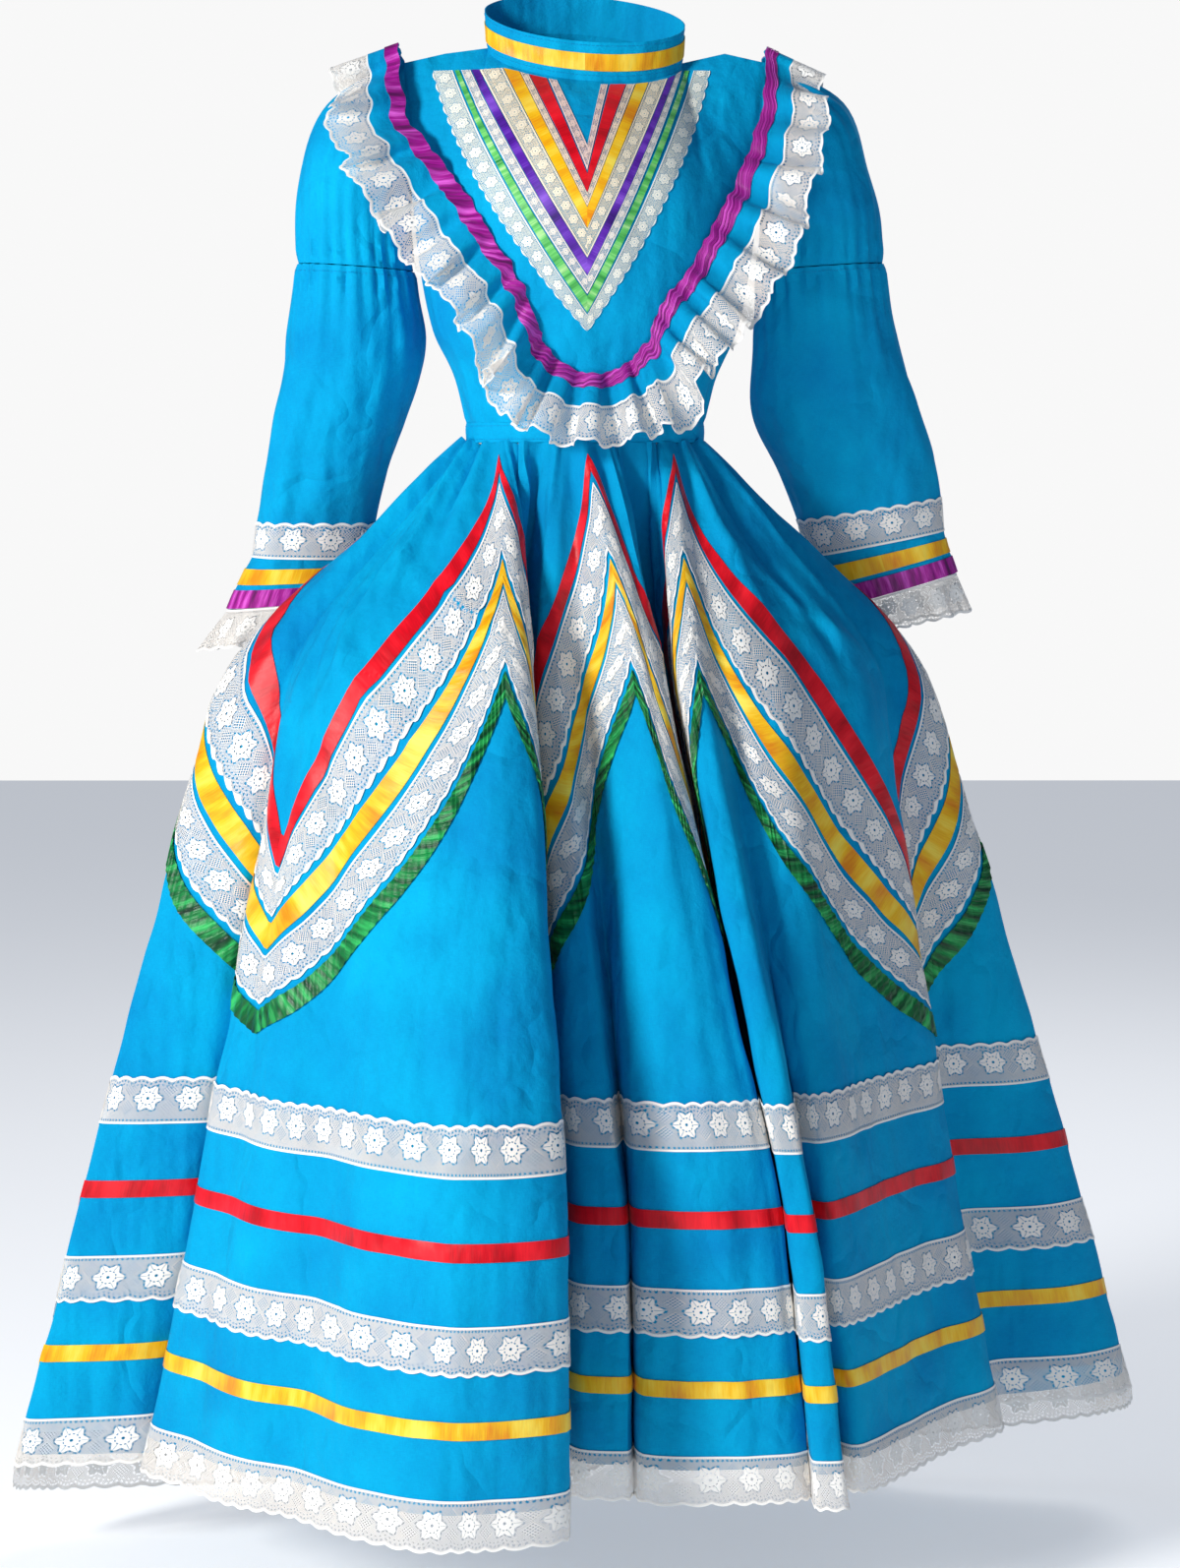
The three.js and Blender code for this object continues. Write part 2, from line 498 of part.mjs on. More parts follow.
// Waistband between the bodice and the skirt
const ringPoint = (ring, angle, z) => {
  const depth = Math.cos(angle) > 0 ? ring.front : ring.back;
  return vector(ring.halfWidth * Math.sin(angle), -depth * Math.cos(angle), z);
};
const WAISTBAND_COLUMNS = 22;
const waistbandRow = (z) => Array.from({ length: WAISTBAND_COLUMNS }, (_, u) =>
  ringPoint(WAIST, 2 * Math.PI * u / WAISTBAND_COLUMNS, z));
addCloth('waistband', sheetFrom(
  [waistbandRow(WAISTBAND_TOP_Z - SEAM_GAP), waistbandRow(WAIST_Z + SEAM_GAP)], true));

// Neckline: an oval that leans forward
function neckPoint(angle) {
  const depth = Math.cos(angle) > 0 ? NECK.front : NECK.back;
  const x = NECK.halfWidth * Math.sin(angle);
  const y = -depth * Math.cos(angle);
  return vector(x, y, NECK.z + NECK.forwardSlope * y + NECK.sideSlope * x);
}

// Bodice: the top edge runs along the neck, the shoulder and the armhole to the armpit
function bodiceTopEdge(side, facing) {
  const across = Math.abs(side);
  const hand = Math.sign(side) || 1;
  if (across <= NECK_SHARE) {
    const angle = across / NECK_SHARE * Math.PI / 2 * hand;
    return neckPoint(facing > 0 ? angle : Math.PI - angle);
  }
  const neckEnd = neckPoint(Math.PI / 2 * hand);
  const edge = [{ side: NECK_SHARE, x: Math.abs(neckEnd.x), z: neckEnd.z, bow: 0 }, ...SHOULDER_EDGE];
  const next = edge.findIndex((point) => point.side >= across);
  const a = edge[next - 1];
  const b = edge[next];
  const part = (across - a.side) / (b.side - a.side);
  const seam = facing * SEAM_GAP;
  return vector(hand * lerp(a.x, b.x, part), -facing * lerp(a.bow, b.bow, part) - seam, lerp(a.z, b.z, part));
}

// facing is 1 for the front and -1 for the back
function bodiceHalf(facing) {
  const sides = Array.from({ length: BODICE_COLUMNS + 1 }, (_, u) => facing * (2 * u / BODICE_COLUMNS - 1));
  const ringRow = (ring) => sides.map((side) => {
    const depth = facing > 0 ? ring.front : ring.back;
    const angle = side * Math.PI / 2;
    return vector(ring.halfWidth * Math.sin(angle), -facing * (depth * Math.cos(angle) + SEAM_GAP), ring.z);
  });
  const top = sides.map((side) => bodiceTopEdge(side, facing));
  const bust = ringRow(TORSO_RINGS[0]);
  const CHEST_SWELL = { front: 16, back: 8 };
  const chestRow = (part) => top.map((point, u) => {
    const swell = facing > 0 ? CHEST_SWELL.front : CHEST_SWELL.back;
    const fullness = 4 * part * (1 - part) * Math.cos(sides[u] * Math.PI / 2);
    const onLine = point.clone().lerp(bust[u], part);
    onLine.y -= facing * swell * fullness;
    return onLine;
  });
  return sheetFrom([top, chestRow(0.3), chestRow(0.65), ...TORSO_RINGS.map(ringRow)], false);
}

const bodiceFront = bodiceHalf(1);
const bodiceBack = bodiceHalf(-1);
const centreBack = BODICE_COLUMNS / 2;
addCloth('bodice_front', bodiceFront);
addCloth('bodice_back_right', columnsOf(bodiceBack, 0, centreBack));
addCloth('bodice_back_left', columnsOf(bodiceBack, centreBack, BODICE_COLUMNS));

// Placket that laps over the centre back opening
const PLACKET_PART = 0.42;
const placketColumn = (lines, from, to) => lines.map((line) => [
  line[centreBack].clone().lerp(line[from], PLACKET_PART),
  line[centreBack].clone(),
  line[centreBack].clone().lerp(line[to], PLACKET_PART),
]);
addTrim('back_placket', 'cloth_blue', {
  points: placketColumn(bodiceBack.points, centreBack - 1, centreBack + 1),
  outward: placketColumn(bodiceBack.outward, centreBack - 1, centreBack + 1),
  closed: false,
});

// Standing collar with a ribbon round its middle
const COLLAR_COLUMNS = 20;
const COLLAR_FLARE = 0.03;
const collarRow = (height) => Array.from({ length: COLLAR_COLUMNS }, (_, u) => {
  const point = neckPoint(2 * Math.PI * u / COLLAR_COLUMNS);
  const flare = 1 + COLLAR_FLARE * height / COLLAR_HEIGHT;
  return vector(point.x * flare, point.y * flare, point.z + SEAM_GAP + height);
});
const collar = sheetFrom([COLLAR_HEIGHT, 24, 9, 1.2].map(collarRow), true);
addCloth('collar', collar);
addTrim('collar_ribbon', 'satin_yellow', sheetOfRows([rowBetween(collar, 1, 0), rowBetween(collar, 1, 1)], true));

// The bodice front's outer surface, found straight through the facets at a place
function chestY(x, z) {
  const surface = bodiceFront.points.map((line, v) => line.map((point, u) =>
    point.clone().addScaledVector(bodiceFront.outward[v][u], CLOTH_WALL)));
  const ray = new THREE.Ray(vector(x, -500, z), vector(0, 1, 0));
  const hit = vector(0, 0, 0);
  for (let v = 0; v < surface.length - 1; v++) {
    for (let u = 0; u < BODICE_COLUMNS; u++) {
      const [a, b, c, d] = [surface[v][u], surface[v + 1][u], surface[v + 1][u + 1], surface[v][u + 1]];
      if (ray.intersectTriangle(a, b, c, false, hit) || ray.intersectTriangle(a, c, d, false, hit)) return hit.y;
    }
  }
  return undefined;
}

// V yoke: each band runs down the left arm to the tip and up the right arm
function yokeTop(x) {
  if (Math.abs(x) >= NECK.halfWidth) return YOKE_TOP_Z;
  return Math.min(YOKE_TOP_Z, neckPoint(Math.asin(x / NECK.halfWidth)).z - YOKE_BELOW_NECK);
}

function yokeLine(edge, part) {
  const down = 1 - Math.abs(2 * part - 1);
  const top = part < 0.5 ? edge.left : edge.right;
  const straightX = lerp(top, YOKE_TIP_X, down);
  const bulge = (edge.mid - 0.5) * 4 * down * (1 - down) * (top - YOKE_TIP_X);
  const z = lerp(yokeTop(top), edge.tip, down);
  return vector(straightX + bulge, 0, z);
}

function yokeSheet(band) {
  const steps = 2 * YOKE_STEPS;
  const strips = Math.ceil(Math.abs(band.outer.left - band.inner.left) / YOKE_STRIP);
  const line = (across) => Array.from({ length: steps + 1 }, (_, u) => {
    const point = yokeLine(band.inner, u / steps).lerp(yokeLine(band.outer, u / steps), across);
    point.y = chestY(point.x, point.z);
    return point;
  });
  return sheetFrom(Array.from({ length: strips + 1 }, (_, v) => line(v / strips)), false);
}

YOKE_BANDS.forEach((band) => addTrim(band.name, band.slot, yokeSheet(band), YOKE_EASE));

// Shoulder ruffle: gathered cloth, with lace along its outer edge and a ribbon on its gathers
function ruffleSheet() {
  const stations = [...RUFFLE_FRONT, ...RUFFLE_BACK];
  const curve = (pick) => new THREE.CatmullRomCurve3(stations.map(pick), true, 'centripetal');
  const gatherCurve = curve((s) => vector(s.x, s.y, s.z));
  const edgeCurve = curve((s) => vector(s.outX, s.outY, s.outZ));
  const frontShare = (RUFFLE_FRONT.length - 1) / stations.length;
  const samples = [];
  const addWaves = (waves, from, to) => {
    for (let n = 0; n < 2 * waves; n++) {
      samples.push({ at: lerp(from, to, n / (2 * waves)), wave: n % 2 ? -1 : 1 });
    }
  };
  addWaves(RUFFLE_WAVES.front, 0, frontShare);
  addWaves(RUFFLE_WAVES.back, frontShare, 1);
  const row = (part) => samples.map(({ at, wave }) => {
    const gather = gatherCurve.getPoint(at);
    const chest = chestY(gather.x, gather.z);
    if (gather.y < 0 && chest !== undefined) gather.y = Math.min(gather.y, chest - RUFFLE_SEAT);
    const edge = edgeCurve.getPoint(at);
    const along = gatherCurve.getTangent(at);
    const lift = edge.clone().sub(gather).cross(along).normalize();
    const height = lerp(RUFFLE_AMPLITUDE.gather, RUFFLE_AMPLITUDE.edge, part) * wave;
    return gather.lerp(edge, part).addScaledVector(lift, height);
  });
  return sheetFrom([0, RUFFLE_RIBBON_SHARE, RUFFLE_LACE_SHARE, 1].map(row), true);
}

const ruffle = ruffleSheet();
const seamShare = 2 * SEAM_GAP / 40;
addCloth('ruffle', sheetOfRows([rowBetween(ruffle, 0, 0), rowBetween(ruffle, 1, 0), rowBetween(ruffle, 1, 1)], true));
addPiece('ruffle_lace', 'lace_white', wall(
  sheetOfRows([rowBetween(ruffle, 2, seamShare), rowBetween(ruffle, 2, 1)], true), 0, TRIM_WALL));
addTrim('ruffle_ribbon', 'satin_magenta', sheetOfRows([rowBetween(ruffle, 0, 0), rowBetween(ruffle, 0, 1)], true));

// Sleeves
function sectionRow(section, columns, waves, amplitude) {
  const hand = Math.sign(section.x);
  const tilt = THREE.MathUtils.degToRad(section.tilt);
  const across = vector(hand * Math.cos(tilt), 0, Math.sin(tilt));
  return Array.from({ length: columns }, (_, u) => {
    const angle = 2 * Math.PI * u / columns;
    const swell = waves && u % 2 ? -amplitude : amplitude;
    const width = section.halfWidth + swell;
    const depth = section.halfDepth + swell;
    return vector(section.x, section.y, section.z)
      .addScaledVector(across, hand * width * Math.sin(angle))
      .add(vector(0, -depth * Math.cos(angle), 0));
  });
}

function addSleeve(hand) {
  const { puff, sleeve, frillEnd } = SLEEVE_SECTIONS[hand];
  const rings = (sections) => sections.map((section) => sectionRow(section, SLEEVE_COLUMNS, 0, 0));
  addCloth(`sleeve_puff_${hand}`, sheetFrom(rings(puff), true));
  const lower = sheetFrom(rings(sleeve), true);
  addCloth(`sleeve_${hand}`, lower);
  CUFF_TRIMS.forEach(({ name, slot, from }) => {
    addTrim(`${name}_${hand}`, slot, sheetOfRows([rowBetween(lower, from, 0), rowBetween(lower, from, 1)], true));
  });
  const columns = 2 * FRILL_WAVES;
  const start = { ...sleeve[sleeve.length - 1] };
  start.z -= 4 * SEAM_GAP;
  const rows = [sectionRow(start, columns, 0, 0), sectionRow(frillEnd, columns, FRILL_WAVES, FRILL_AMPLITUDE)];
  addPiece(`cuff_frill_${hand}`, 'lace_white', wall(levelEdge(sheetFrom(rows, true), 0), 0, TRIM_WALL));
}

addSleeve('left');
addSleeve('right');

export default dress;
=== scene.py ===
# Folklorico dress in the Jalisco style, finished for pictures. The shapes are worked out in
# millimetres, in the frame's axes, and become metres when a mesh is made.

import math

import bpy
import numpy as np
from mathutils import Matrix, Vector, noise
from mathutils.bvhtree import BVHTree


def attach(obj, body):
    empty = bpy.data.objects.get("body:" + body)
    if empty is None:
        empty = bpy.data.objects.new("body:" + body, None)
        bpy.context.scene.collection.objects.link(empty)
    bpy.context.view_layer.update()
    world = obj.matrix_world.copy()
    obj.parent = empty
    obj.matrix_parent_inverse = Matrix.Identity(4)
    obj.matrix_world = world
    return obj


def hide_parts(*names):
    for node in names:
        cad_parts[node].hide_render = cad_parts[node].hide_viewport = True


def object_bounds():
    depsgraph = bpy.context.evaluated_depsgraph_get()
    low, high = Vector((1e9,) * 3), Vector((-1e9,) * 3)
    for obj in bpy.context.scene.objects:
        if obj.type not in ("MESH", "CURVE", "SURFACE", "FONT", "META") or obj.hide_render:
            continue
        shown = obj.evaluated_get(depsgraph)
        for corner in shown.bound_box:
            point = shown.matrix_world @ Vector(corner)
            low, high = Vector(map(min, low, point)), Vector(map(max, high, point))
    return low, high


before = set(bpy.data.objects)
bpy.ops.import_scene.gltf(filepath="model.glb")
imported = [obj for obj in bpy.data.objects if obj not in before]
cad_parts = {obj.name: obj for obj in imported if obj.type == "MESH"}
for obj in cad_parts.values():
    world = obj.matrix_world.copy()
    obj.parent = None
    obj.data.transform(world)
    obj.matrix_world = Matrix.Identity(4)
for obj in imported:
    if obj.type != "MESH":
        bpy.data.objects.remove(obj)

CAD_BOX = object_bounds()
METRES = 0.001

# Seams and guide levels
COLLAR_HEIGHT = 34
BUST_Z = -140
WAISTBAND_TOP_Z = -334
WAIST_Z = -352
HIP_Z = -540
BAND_Z = -1010
HEM_Z = -1250
CLOTH_END_Z = -1228           # below it the hem's lace hangs free

# Skirt
WAIST_HALF_WIDTH, WAIST_FRONT, WAIST_BACK = 106, 83, 70
HEM_SPREAD_X, HEM_SPREAD_FRONT, HEM_SPREAD_BACK = 1.14, 0.98, 1.12
SIDE_LIFT = 14
BACK_DROP = 100
CLOTH_ROUND = 4.24            # metres of cloth round the skirt at the level bands

# Fold lines of the skirt's front: share of the way round, then x and y at the hip and band
FRONT_FOLDS = [
    (-0.2500, -325, -15, -450, -77), (-0.2260, -272, -78, -352, -72),
    (-0.2200, -262, -84, -330, -52), (-0.2140, -254, -98, -346, -96),
    (-0.2000, -238, -124, -305, -165), (-0.1875, -225, -142, -270, -222),
    (-0.1720, -196, -160, -222, -262), (-0.1560, -150, -178, -168, -330),
    (-0.1400, -106, -196, -104, -376), (-0.1250, -68, -208, -56, -374),
    (-0.1160, -50, -202, -14, -352), (-0.1100, -46, -184, -14, -318),
    (-0.0860, -62, -130, -42, -225), (-0.0625, -80, -86, -66, -140),
    (-0.0560, -62, -84, -42, -134), (-0.0360, -42, -140, 0, -232),
    (-0.0280, -28, -150, 32, -240), (-0.0170, -4, -138, 38, -196), (-0.0060, 26, -168, 46, -248),
    (0.0000, 43, -186, 82, -262), (0.0120, 54, -186, 130, -262), (0.0280, 62, -174, 168, -250),
    (0.0450, 58, -122, 158, -180), (0.0625, 50, -76, 144, -110), (0.0760, 68, -72, 166, -100),
    (0.0980, 74, -128, 174, -192), (0.1160, 78, -172, 174, -284), (0.1250, 94, -178, 194, -286),
    (0.1350, 112, -160, 194, -216), (0.1480, 140, -158, 208, -236),
    (0.1680, 192, -130, 248, -176), (0.1875, 234, -92, 292, -102), (0.2050, 262, -50, 332, -42),
    (0.2140, 262, -26, 324, 4), (0.2240, 276, -10, 342, 36), (0.2380, 296, 10, 410, 46),
    (0.2500, 308, 34, 452, 78),
]
BACK_STEPS = 16
BACK_FOLDS = {2: 70, 3: 70, 5: 92, 6: 92, 8: 66, 9: 66, 10: 86, 11: 86, 13: 74, 14: 74}
BACK_EVENNESS = 0.22
BACK_HIP_DEPTH, BACK_HIP_FOLD = 112, 0.3
BACK_BAND_DEPTH, BACK_BAND_FOLD = 240, 1

# Turning points of the zigzags, a peak and a valley in turn, as shares of the way round, and
# the share of the valley that hangs lower, with how much lower it is
CHEVRON_TURNS = np.array([-0.28125, -0.2, -0.125, -0.0625, 0, 0.0625, 0.125, 0.205, 0.28125,
                          0.34375, 0.40625, 0.5, 0.59375, 0.65625, 0.71875, 0.8])
LOW_VALLEY, LOW_VALLEY_DROP = 0.205, 30

# Zigzag bands: heights of the upper and lower edge at a peak, halfway and at a valley
ZIGZAG_BANDS = [
    ("chevron_ribbon_red", (-364, -502, -697), (-379, -538, -723)),
    ("chevron_lace_upper", (-389, -546, -729), (-447, -634, -764)),
    ("chevron_ribbon_yellow", (-454, -642, -769), (-473, -673, -791)),
    ("chevron_lace_lower", (-479, -681, -797), (-540, -736, -838)),
    ("chevron_ribbon_green", (-547, -742, -843), (-568, -766, -863)),
]
LEVEL_BANDS = [
    ("skirt_lace_upper", -911, -953), ("skirt_ribbon_red", -1003, -1018),
    ("skirt_lace_middle", -1070, -1112), ("skirt_ribbon_yellow", -1150, -1165),
    ("hem_lace", -1216, -1260),
]

# Bodice rings: height, half width, front depth, back depth
TORSO_RINGS = [(BUST_Z, 153, 116, 72), (-190, 148, 121, 70), (-250, 136, 111, 64),
               (-292, 117, 97, 64), (WAISTBAND_TOP_Z, 106, 84, 69)]
NECK_HALF_WIDTH, NECK_FRONT, NECK_BACK, NECK_Z = 86, 44, 40, -8
NECK_FORWARD_SLOPE, NECK_SIDE_SLOPE = 0.6, -0.08
NECK_SHARE = 0.5
SHOULDER_EDGE = [(0.625, 125, -6, 0), (0.75, 161, -14, 0), (0.875, 160, -78, 32),
                 (1.0, 153.5, -133, 0)]
CHEST_SWELL_FRONT, CHEST_SWELL_BACK = 16, 8

# V yoke: left and right start, bulge, and tip of the inner and outer edge of each band
YOKE_TIP_X, YOKE_TOP_Z, YOKE_BELOW_NECK = 2, -22, 3
YOKE_SCALLOP, YOKE_SCALLOP_DEPTH = 11, 2.0
YOKE_BANDS = [
    ("yoke_lace_inner", (-25, 14, 0.5, -96), (-32, 20, 0.5, -118)),
    ("yoke_ribbon_red", (-34, 22, 0.5, -121), (-49, 36, 0.5, -137)),
    ("yoke_lace_red", (-50, 37, 0.51, -138), (-57, 44, 0.51, -149)),
    ("yoke_ribbon_yellow", (-58, 45, 0.51, -150), (-72, 56, 0.52, -168)),
    ("yoke_lace_yellow", (-73, 57, 0.52, -169), (-93, 73, 0.54, -193)),
    ("yoke_ribbon_purple", (-94, 74, 0.54, -194), (-101, 80, 0.55, -208)),
    ("yoke_lace_purple", (-102, 81, 0.55, -209), (-110, 86, 0.57, -224)),
    ("yoke_ribbon_green", (-112, 89, 0.57, -226), (-116, 93, 0.58, -240)),
    ("yoke_lace_outer", (-118, 97, 0.58, -242), (-137, 112, 0.64, -257)),
]

# Shoulder ruffle: gather line and outer edge
RUFFLE_FRONT = [
    (-166, -4, 0, -222, -8, -34), (-158, -42, -64, -226, -66, -78),
    (-128, -70, -104, -196, -92, -136), (-98, -89, -146, -164, -112, -186),
    (-72, -97, -188, -124, -128, -228), (-50, -100, -226, -96, -134, -276),
    (-34, -97, -268, -74, -130, -326), (-8, -94, -290, -30, -128, -350),
    (26, -94, -290, 34, -128, -352), (52, -94, -268, 84, -128, -330),
    (68, -99, -232, 116, -130, -286), (92, -94, -200, 146, -120, -246),
    (116, -83, -158, 182, -102, -196), (138, -65, -112, 202, -82, -132),
    (156, -44, -66, 216, -66, -72), (162, -4, -2, 212, -8, -30),
]
RUFFLE_BACK = [
    (160, 20, -14, 216, 40, -34), (150, 42, -60, 206, 76, -74), (110, 66, -112, 142, 84, -168),
    (52, 78, -146, 66, 92, -210), (-6, 80, -156, -6, 94, -220), (-62, 78, -142, -76, 92, -206),
    (-114, 66, -108, -148, 84, -164), (-152, 42, -58, -208, 76, -72),
    (-163, 20, -14, -220, 40, -36),
]
RUFFLE_WAVES_FRONT, RUFFLE_WAVES_BACK = 22, 12
RUFFLE_AMPLITUDE_GATHER, RUFFLE_AMPLITUDE_EDGE = 1.6, 11
RUFFLE_SEAT = 2.4

# Where the ruffle's edge doubles back on itself: place and reach as a share of the way round,
# how far it slides along the edge, and how far it stands out
RUFFLE_TURNS = [
    (0.030, 0.014, 12, 8), (0.062, 0.016, 17, 11), (0.102, 0.017, 17, 11), (0.146, 0.016, 14, 9),
    (0.215, 0.024, 25, 14), (0.372, 0.020, -22, 13), (0.448, 0.014, -10, 7), (0.520, 0.014, -12, 8),
]
RUFFLE_WIDTH = 75
RUFFLE_RIBBON_SHARE, RUFFLE_LACE_SHARE = 0.2, 0.44

# Sleeve sections: x, y, z, tilt, half width, half depth
SLEEVES = {
    "left": {
        "puff": [
            (-164.4, 0, -78, 82, 57, 33), (-194, 2, -97, 52, 59, 44),
            (-206, 5, -130, 26, 53, 48), (-208, 10, -165, 9, 51, 46),
            (-207, 14, -194, 4, 50, 40),
        ],
        "sleeve": [
            (-207, 14, -195, 4, 51, 41), (-209, 32, -272, 0, 61, 43),
            (-227, 50, -330, 0, 60, 41), (-238, 68, -374, 0, 56, 38),
            (-250, 89, -424, 0, 54, 35), (-256, 103, -458, 0, 54, 34),
            (-261, 108, -467, -2, 56, 34), (-266, 112, -481, -3, 59, 34),
            (-268, 113, -485, -4, 60, 34), (-274, 118, -501, -5, 62, 34),
        ],
        "frill": (-286, 124, -536, -8, 76, 38),
    },
    "right": {
        "puff": [
            (164.4, 0, -78, 82, 57, 33), (194, 2, -97, 52, 59, 44), (206, 5, -130, 26, 53, 48),
            (212, 10, -165, 9, 54, 47), (212, 14, -194, 4, 55, 42),
        ],
        "sleeve": [
            (212, 14, -195, 4, 56, 43), (219, 28, -256, 3, 62, 45), (230, 46, -322, 3, 74, 44),
            (250, 64, -372, 6, 70, 40), (262, 80, -411, 9, 66, 37), (270, 94, -445, 11, 64, 35),
            (273, 98, -454, 13, 64, 35), (278, 103, -469, 15, 64, 35),
            (280, 105, -473, 15, 64, 35), (286, 110, -489, 16, 64, 35),
        ],
        "frill": (292, 118, -524, 12, 68, 40),
    },
}
FRILL_WAVES, FRILL_AMPLITUDE = 9, 6

# How far the layers stand off the surface that the shapes describe
CLOTH_LAYER = (0.2, 1.1)
PLACKET_LAYER = (1.4, 2.4)
RUFFLE_LAYER = (0.1, 0.9)
RUFFLE_RIBBON_LAYER = (1.3, 1.8)
YOKE_RIBBON_LAYER = (0.5, 1.0)
YOKE_LACE_LAYER = (0.5, 0.9)
LOOSE_LACE_LAYER = (0.3, 0.7)
RIBBON_LAYER = (1.5, 2.0)
LACE_LAYER = (1.6, 2.0)
REPEAT = 34                   # one flower of the wide lace


def mix(a, b, part):
    return a + (b - a) * part


def wander(x, y=0.0, z=0.0):
    """Smooth noise between about -1 and 1."""
    return noise.noise(Vector((x, y, z)))


wander_over = np.vectorize(wander)


def wander_round(angle, size, height):
    """Smooth noise round a ring of a given size in the noise, at a height in it."""
    return wander_over(np.cos(angle) * size, np.sin(angle) * size, height)


def soft_curve(knots, values, at, period=None, round_off=0.35):
    """Smooth line through values at knots that hardly swings past them."""
    k, v = np.asarray(knots, float), np.asarray(values, float)
    if period:
        k = np.concatenate([k[-3:] - period, k, k[:3] + period])
        v = np.concatenate([v[-3:], v, v[:3]])
    step = np.diff(k)
    rise = np.diff(v) / step
    before, after = rise[:-1], rise[1:]
    same = before * after > 0
    safe = np.where(same, before + after, 1)
    calm = np.where(same, 2 * before * after / safe, 0)
    plain = (before * step[1:] + after * step[:-1]) / (step[1:] + step[:-1])
    slopes = np.concatenate([[rise[0]], mix(calm, plain, round_off), [rise[-1]]])
    n = np.clip(np.searchsorted(k, at, side="right") - 1, 0, len(k) - 2)
    h = step[n]
    t = (at - k[n]) / h
    return ((2 * t**3 - 3 * t**2 + 1) * v[n] + (t**3 - 2 * t**2 + t) * h * slopes[n]
            + (3 * t**2 - 2 * t**3) * v[n + 1] + (t**3 - t**2) * h * slopes[n + 1])


def normals_of(points, closed):
    """Outward directions of a grid whose rows run down and whose columns run left to right."""
    if closed:
        across = np.roll(points, -1, axis=1) - np.roll(points, 1, axis=1)
    else:
        across = np.gradient(points, axis=1)
    down = np.gradient(points, axis=0)
    out = np.cross(down, across)
    return out / np.maximum(np.linalg.norm(out, axis=2, keepdims=True), 1e-9)


def running_length(points, closed):
    """Length along each row up to each column, with one column more where the row closes."""
    line = np.concatenate([points, points[:, :1]], axis=1) if closed else points
    steps = np.linalg.norm(np.diff(line, axis=1), axis=2)
    return np.concatenate([np.zeros((len(points), 1)), np.cumsum(steps, axis=1)], axis=1)


SHARP_EDGE_DEGREES = 60


def cloth_piece(name, points, normals, layer, finish, slot, uv, closed=False, lift=None):
    """A thin closed shell between two distances from a grid, in place of the node of the same
    name. uv holds the place on the flat cloth, in metres, for the left and the right corners of
    the cells in each column."""
    rows, columns = points.shape[:2]
    raised = 0 if lift is None else lift[..., None]
    outer = points + normals * (layer[1] + raised)
    inner = points + normals * (layer[0] + raised)
    verts = np.concatenate([outer.reshape(-1, 3), inner.reshape(-1, 3)]) * METRES
    cells = columns if closed else columns - 1
    v, u = np.meshgrid(np.arange(rows - 1), np.arange(cells), indexing="ij")
    v, u = v.ravel(), u.ravel()
    u1 = (u + 1) % columns
    at = lambda row, col: row * columns + col
    total = rows * columns
    uv_left, uv_right = uv
    front = np.stack([at(v, u), at(v + 1, u), at(v + 1, u1), at(v, u1)], 1)
    front_uv = np.stack([uv_left[v, u], uv_left[v + 1, u],
                         uv_right[v + 1, u + 1], uv_right[v, u + 1]], 1)
    faces, face_uvs = [front, front[:, ::-1] + total], [front_uv, front_uv[:, ::-1]]
    c = np.arange(cells)
    c1 = (c + 1) % columns
    for row, order in ((0, 1), (rows - 1, -1)):
        edge = np.stack([at(row, c), at(row, c1), at(row, c1) + total, at(row, c) + total], 1)
        edge_uv = np.stack([uv_left[row, c], uv_right[row, c + 1],
                            uv_right[row, c + 1], uv_left[row, c]], 1)
        faces.append(edge[:, ::order])
        face_uvs.append(edge_uv[:, ::order])
    if not closed:
        r = np.arange(rows - 1)
        for col, order, side in ((0, -1, uv_left), (columns - 1, 1, uv_right)):
            upper, lower = at(r, col), at(r + 1, col)
            edge = np.stack([upper, upper + total, lower + total, lower], 1)
            edge_uv = np.stack([side[r, col], side[r, col], side[r + 1, col], side[r + 1, col]], 1)
            faces.append(edge[:, ::-order])
            face_uvs.append(edge_uv[:, ::-order])
    faces = np.concatenate(faces)
    face_uvs = np.concatenate(face_uvs)
    mesh = bpy.data.meshes.new(name)
    mesh.vertices.add(len(verts))
    mesh.vertices.foreach_set("co", verts.ravel())
    mesh.loops.add(faces.size)
    mesh.loops.foreach_set("vertex_index", faces.ravel().astype(np.int32))
    mesh.polygons.add(len(faces))
    mesh.polygons.foreach_set("loop_start", np.arange(0, faces.size, 4, dtype=np.int32))
    mesh.polygons.foreach_set("use_smooth", np.ones(len(faces), bool))
    layer_uv = mesh.uv_layers.new(name="flat_cloth")
    layer_uv.data.foreach_set("uv", face_uvs.reshape(-1, 2).ravel())
    mesh.update(calc_edges=True)
    mesh.validate()
    mesh.set_sharp_from_angle(angle=math.radians(SHARP_EDGE_DEGREES))
    mesh.materials.append(finish)
    piece = bpy.data.objects.new(name + "_sewn", mesh)
    bpy.context.scene.collection.objects.link(piece)
    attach(piece, "root")
    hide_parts(name)
    return piece


def same_uv(u, v):
    grid = np.stack(np.broadcast_arrays(u, v), axis=-1)
    return grid, grid


def between_rows(grid, fractions):
    """Samples a grid between its rows: fraction 0 is the first row and 1 the last."""
    place = np.clip(fractions, 0, 1) * (len(grid) - 1)
    low = np.minimum(place.astype(int), len(grid) - 2)
    part = (place - low)[..., None]
    column = np.broadcast_to(np.arange(grid.shape[1]), low.shape)
    return grid[low, column] * (1 - part) + grid[low + 1, column] * part


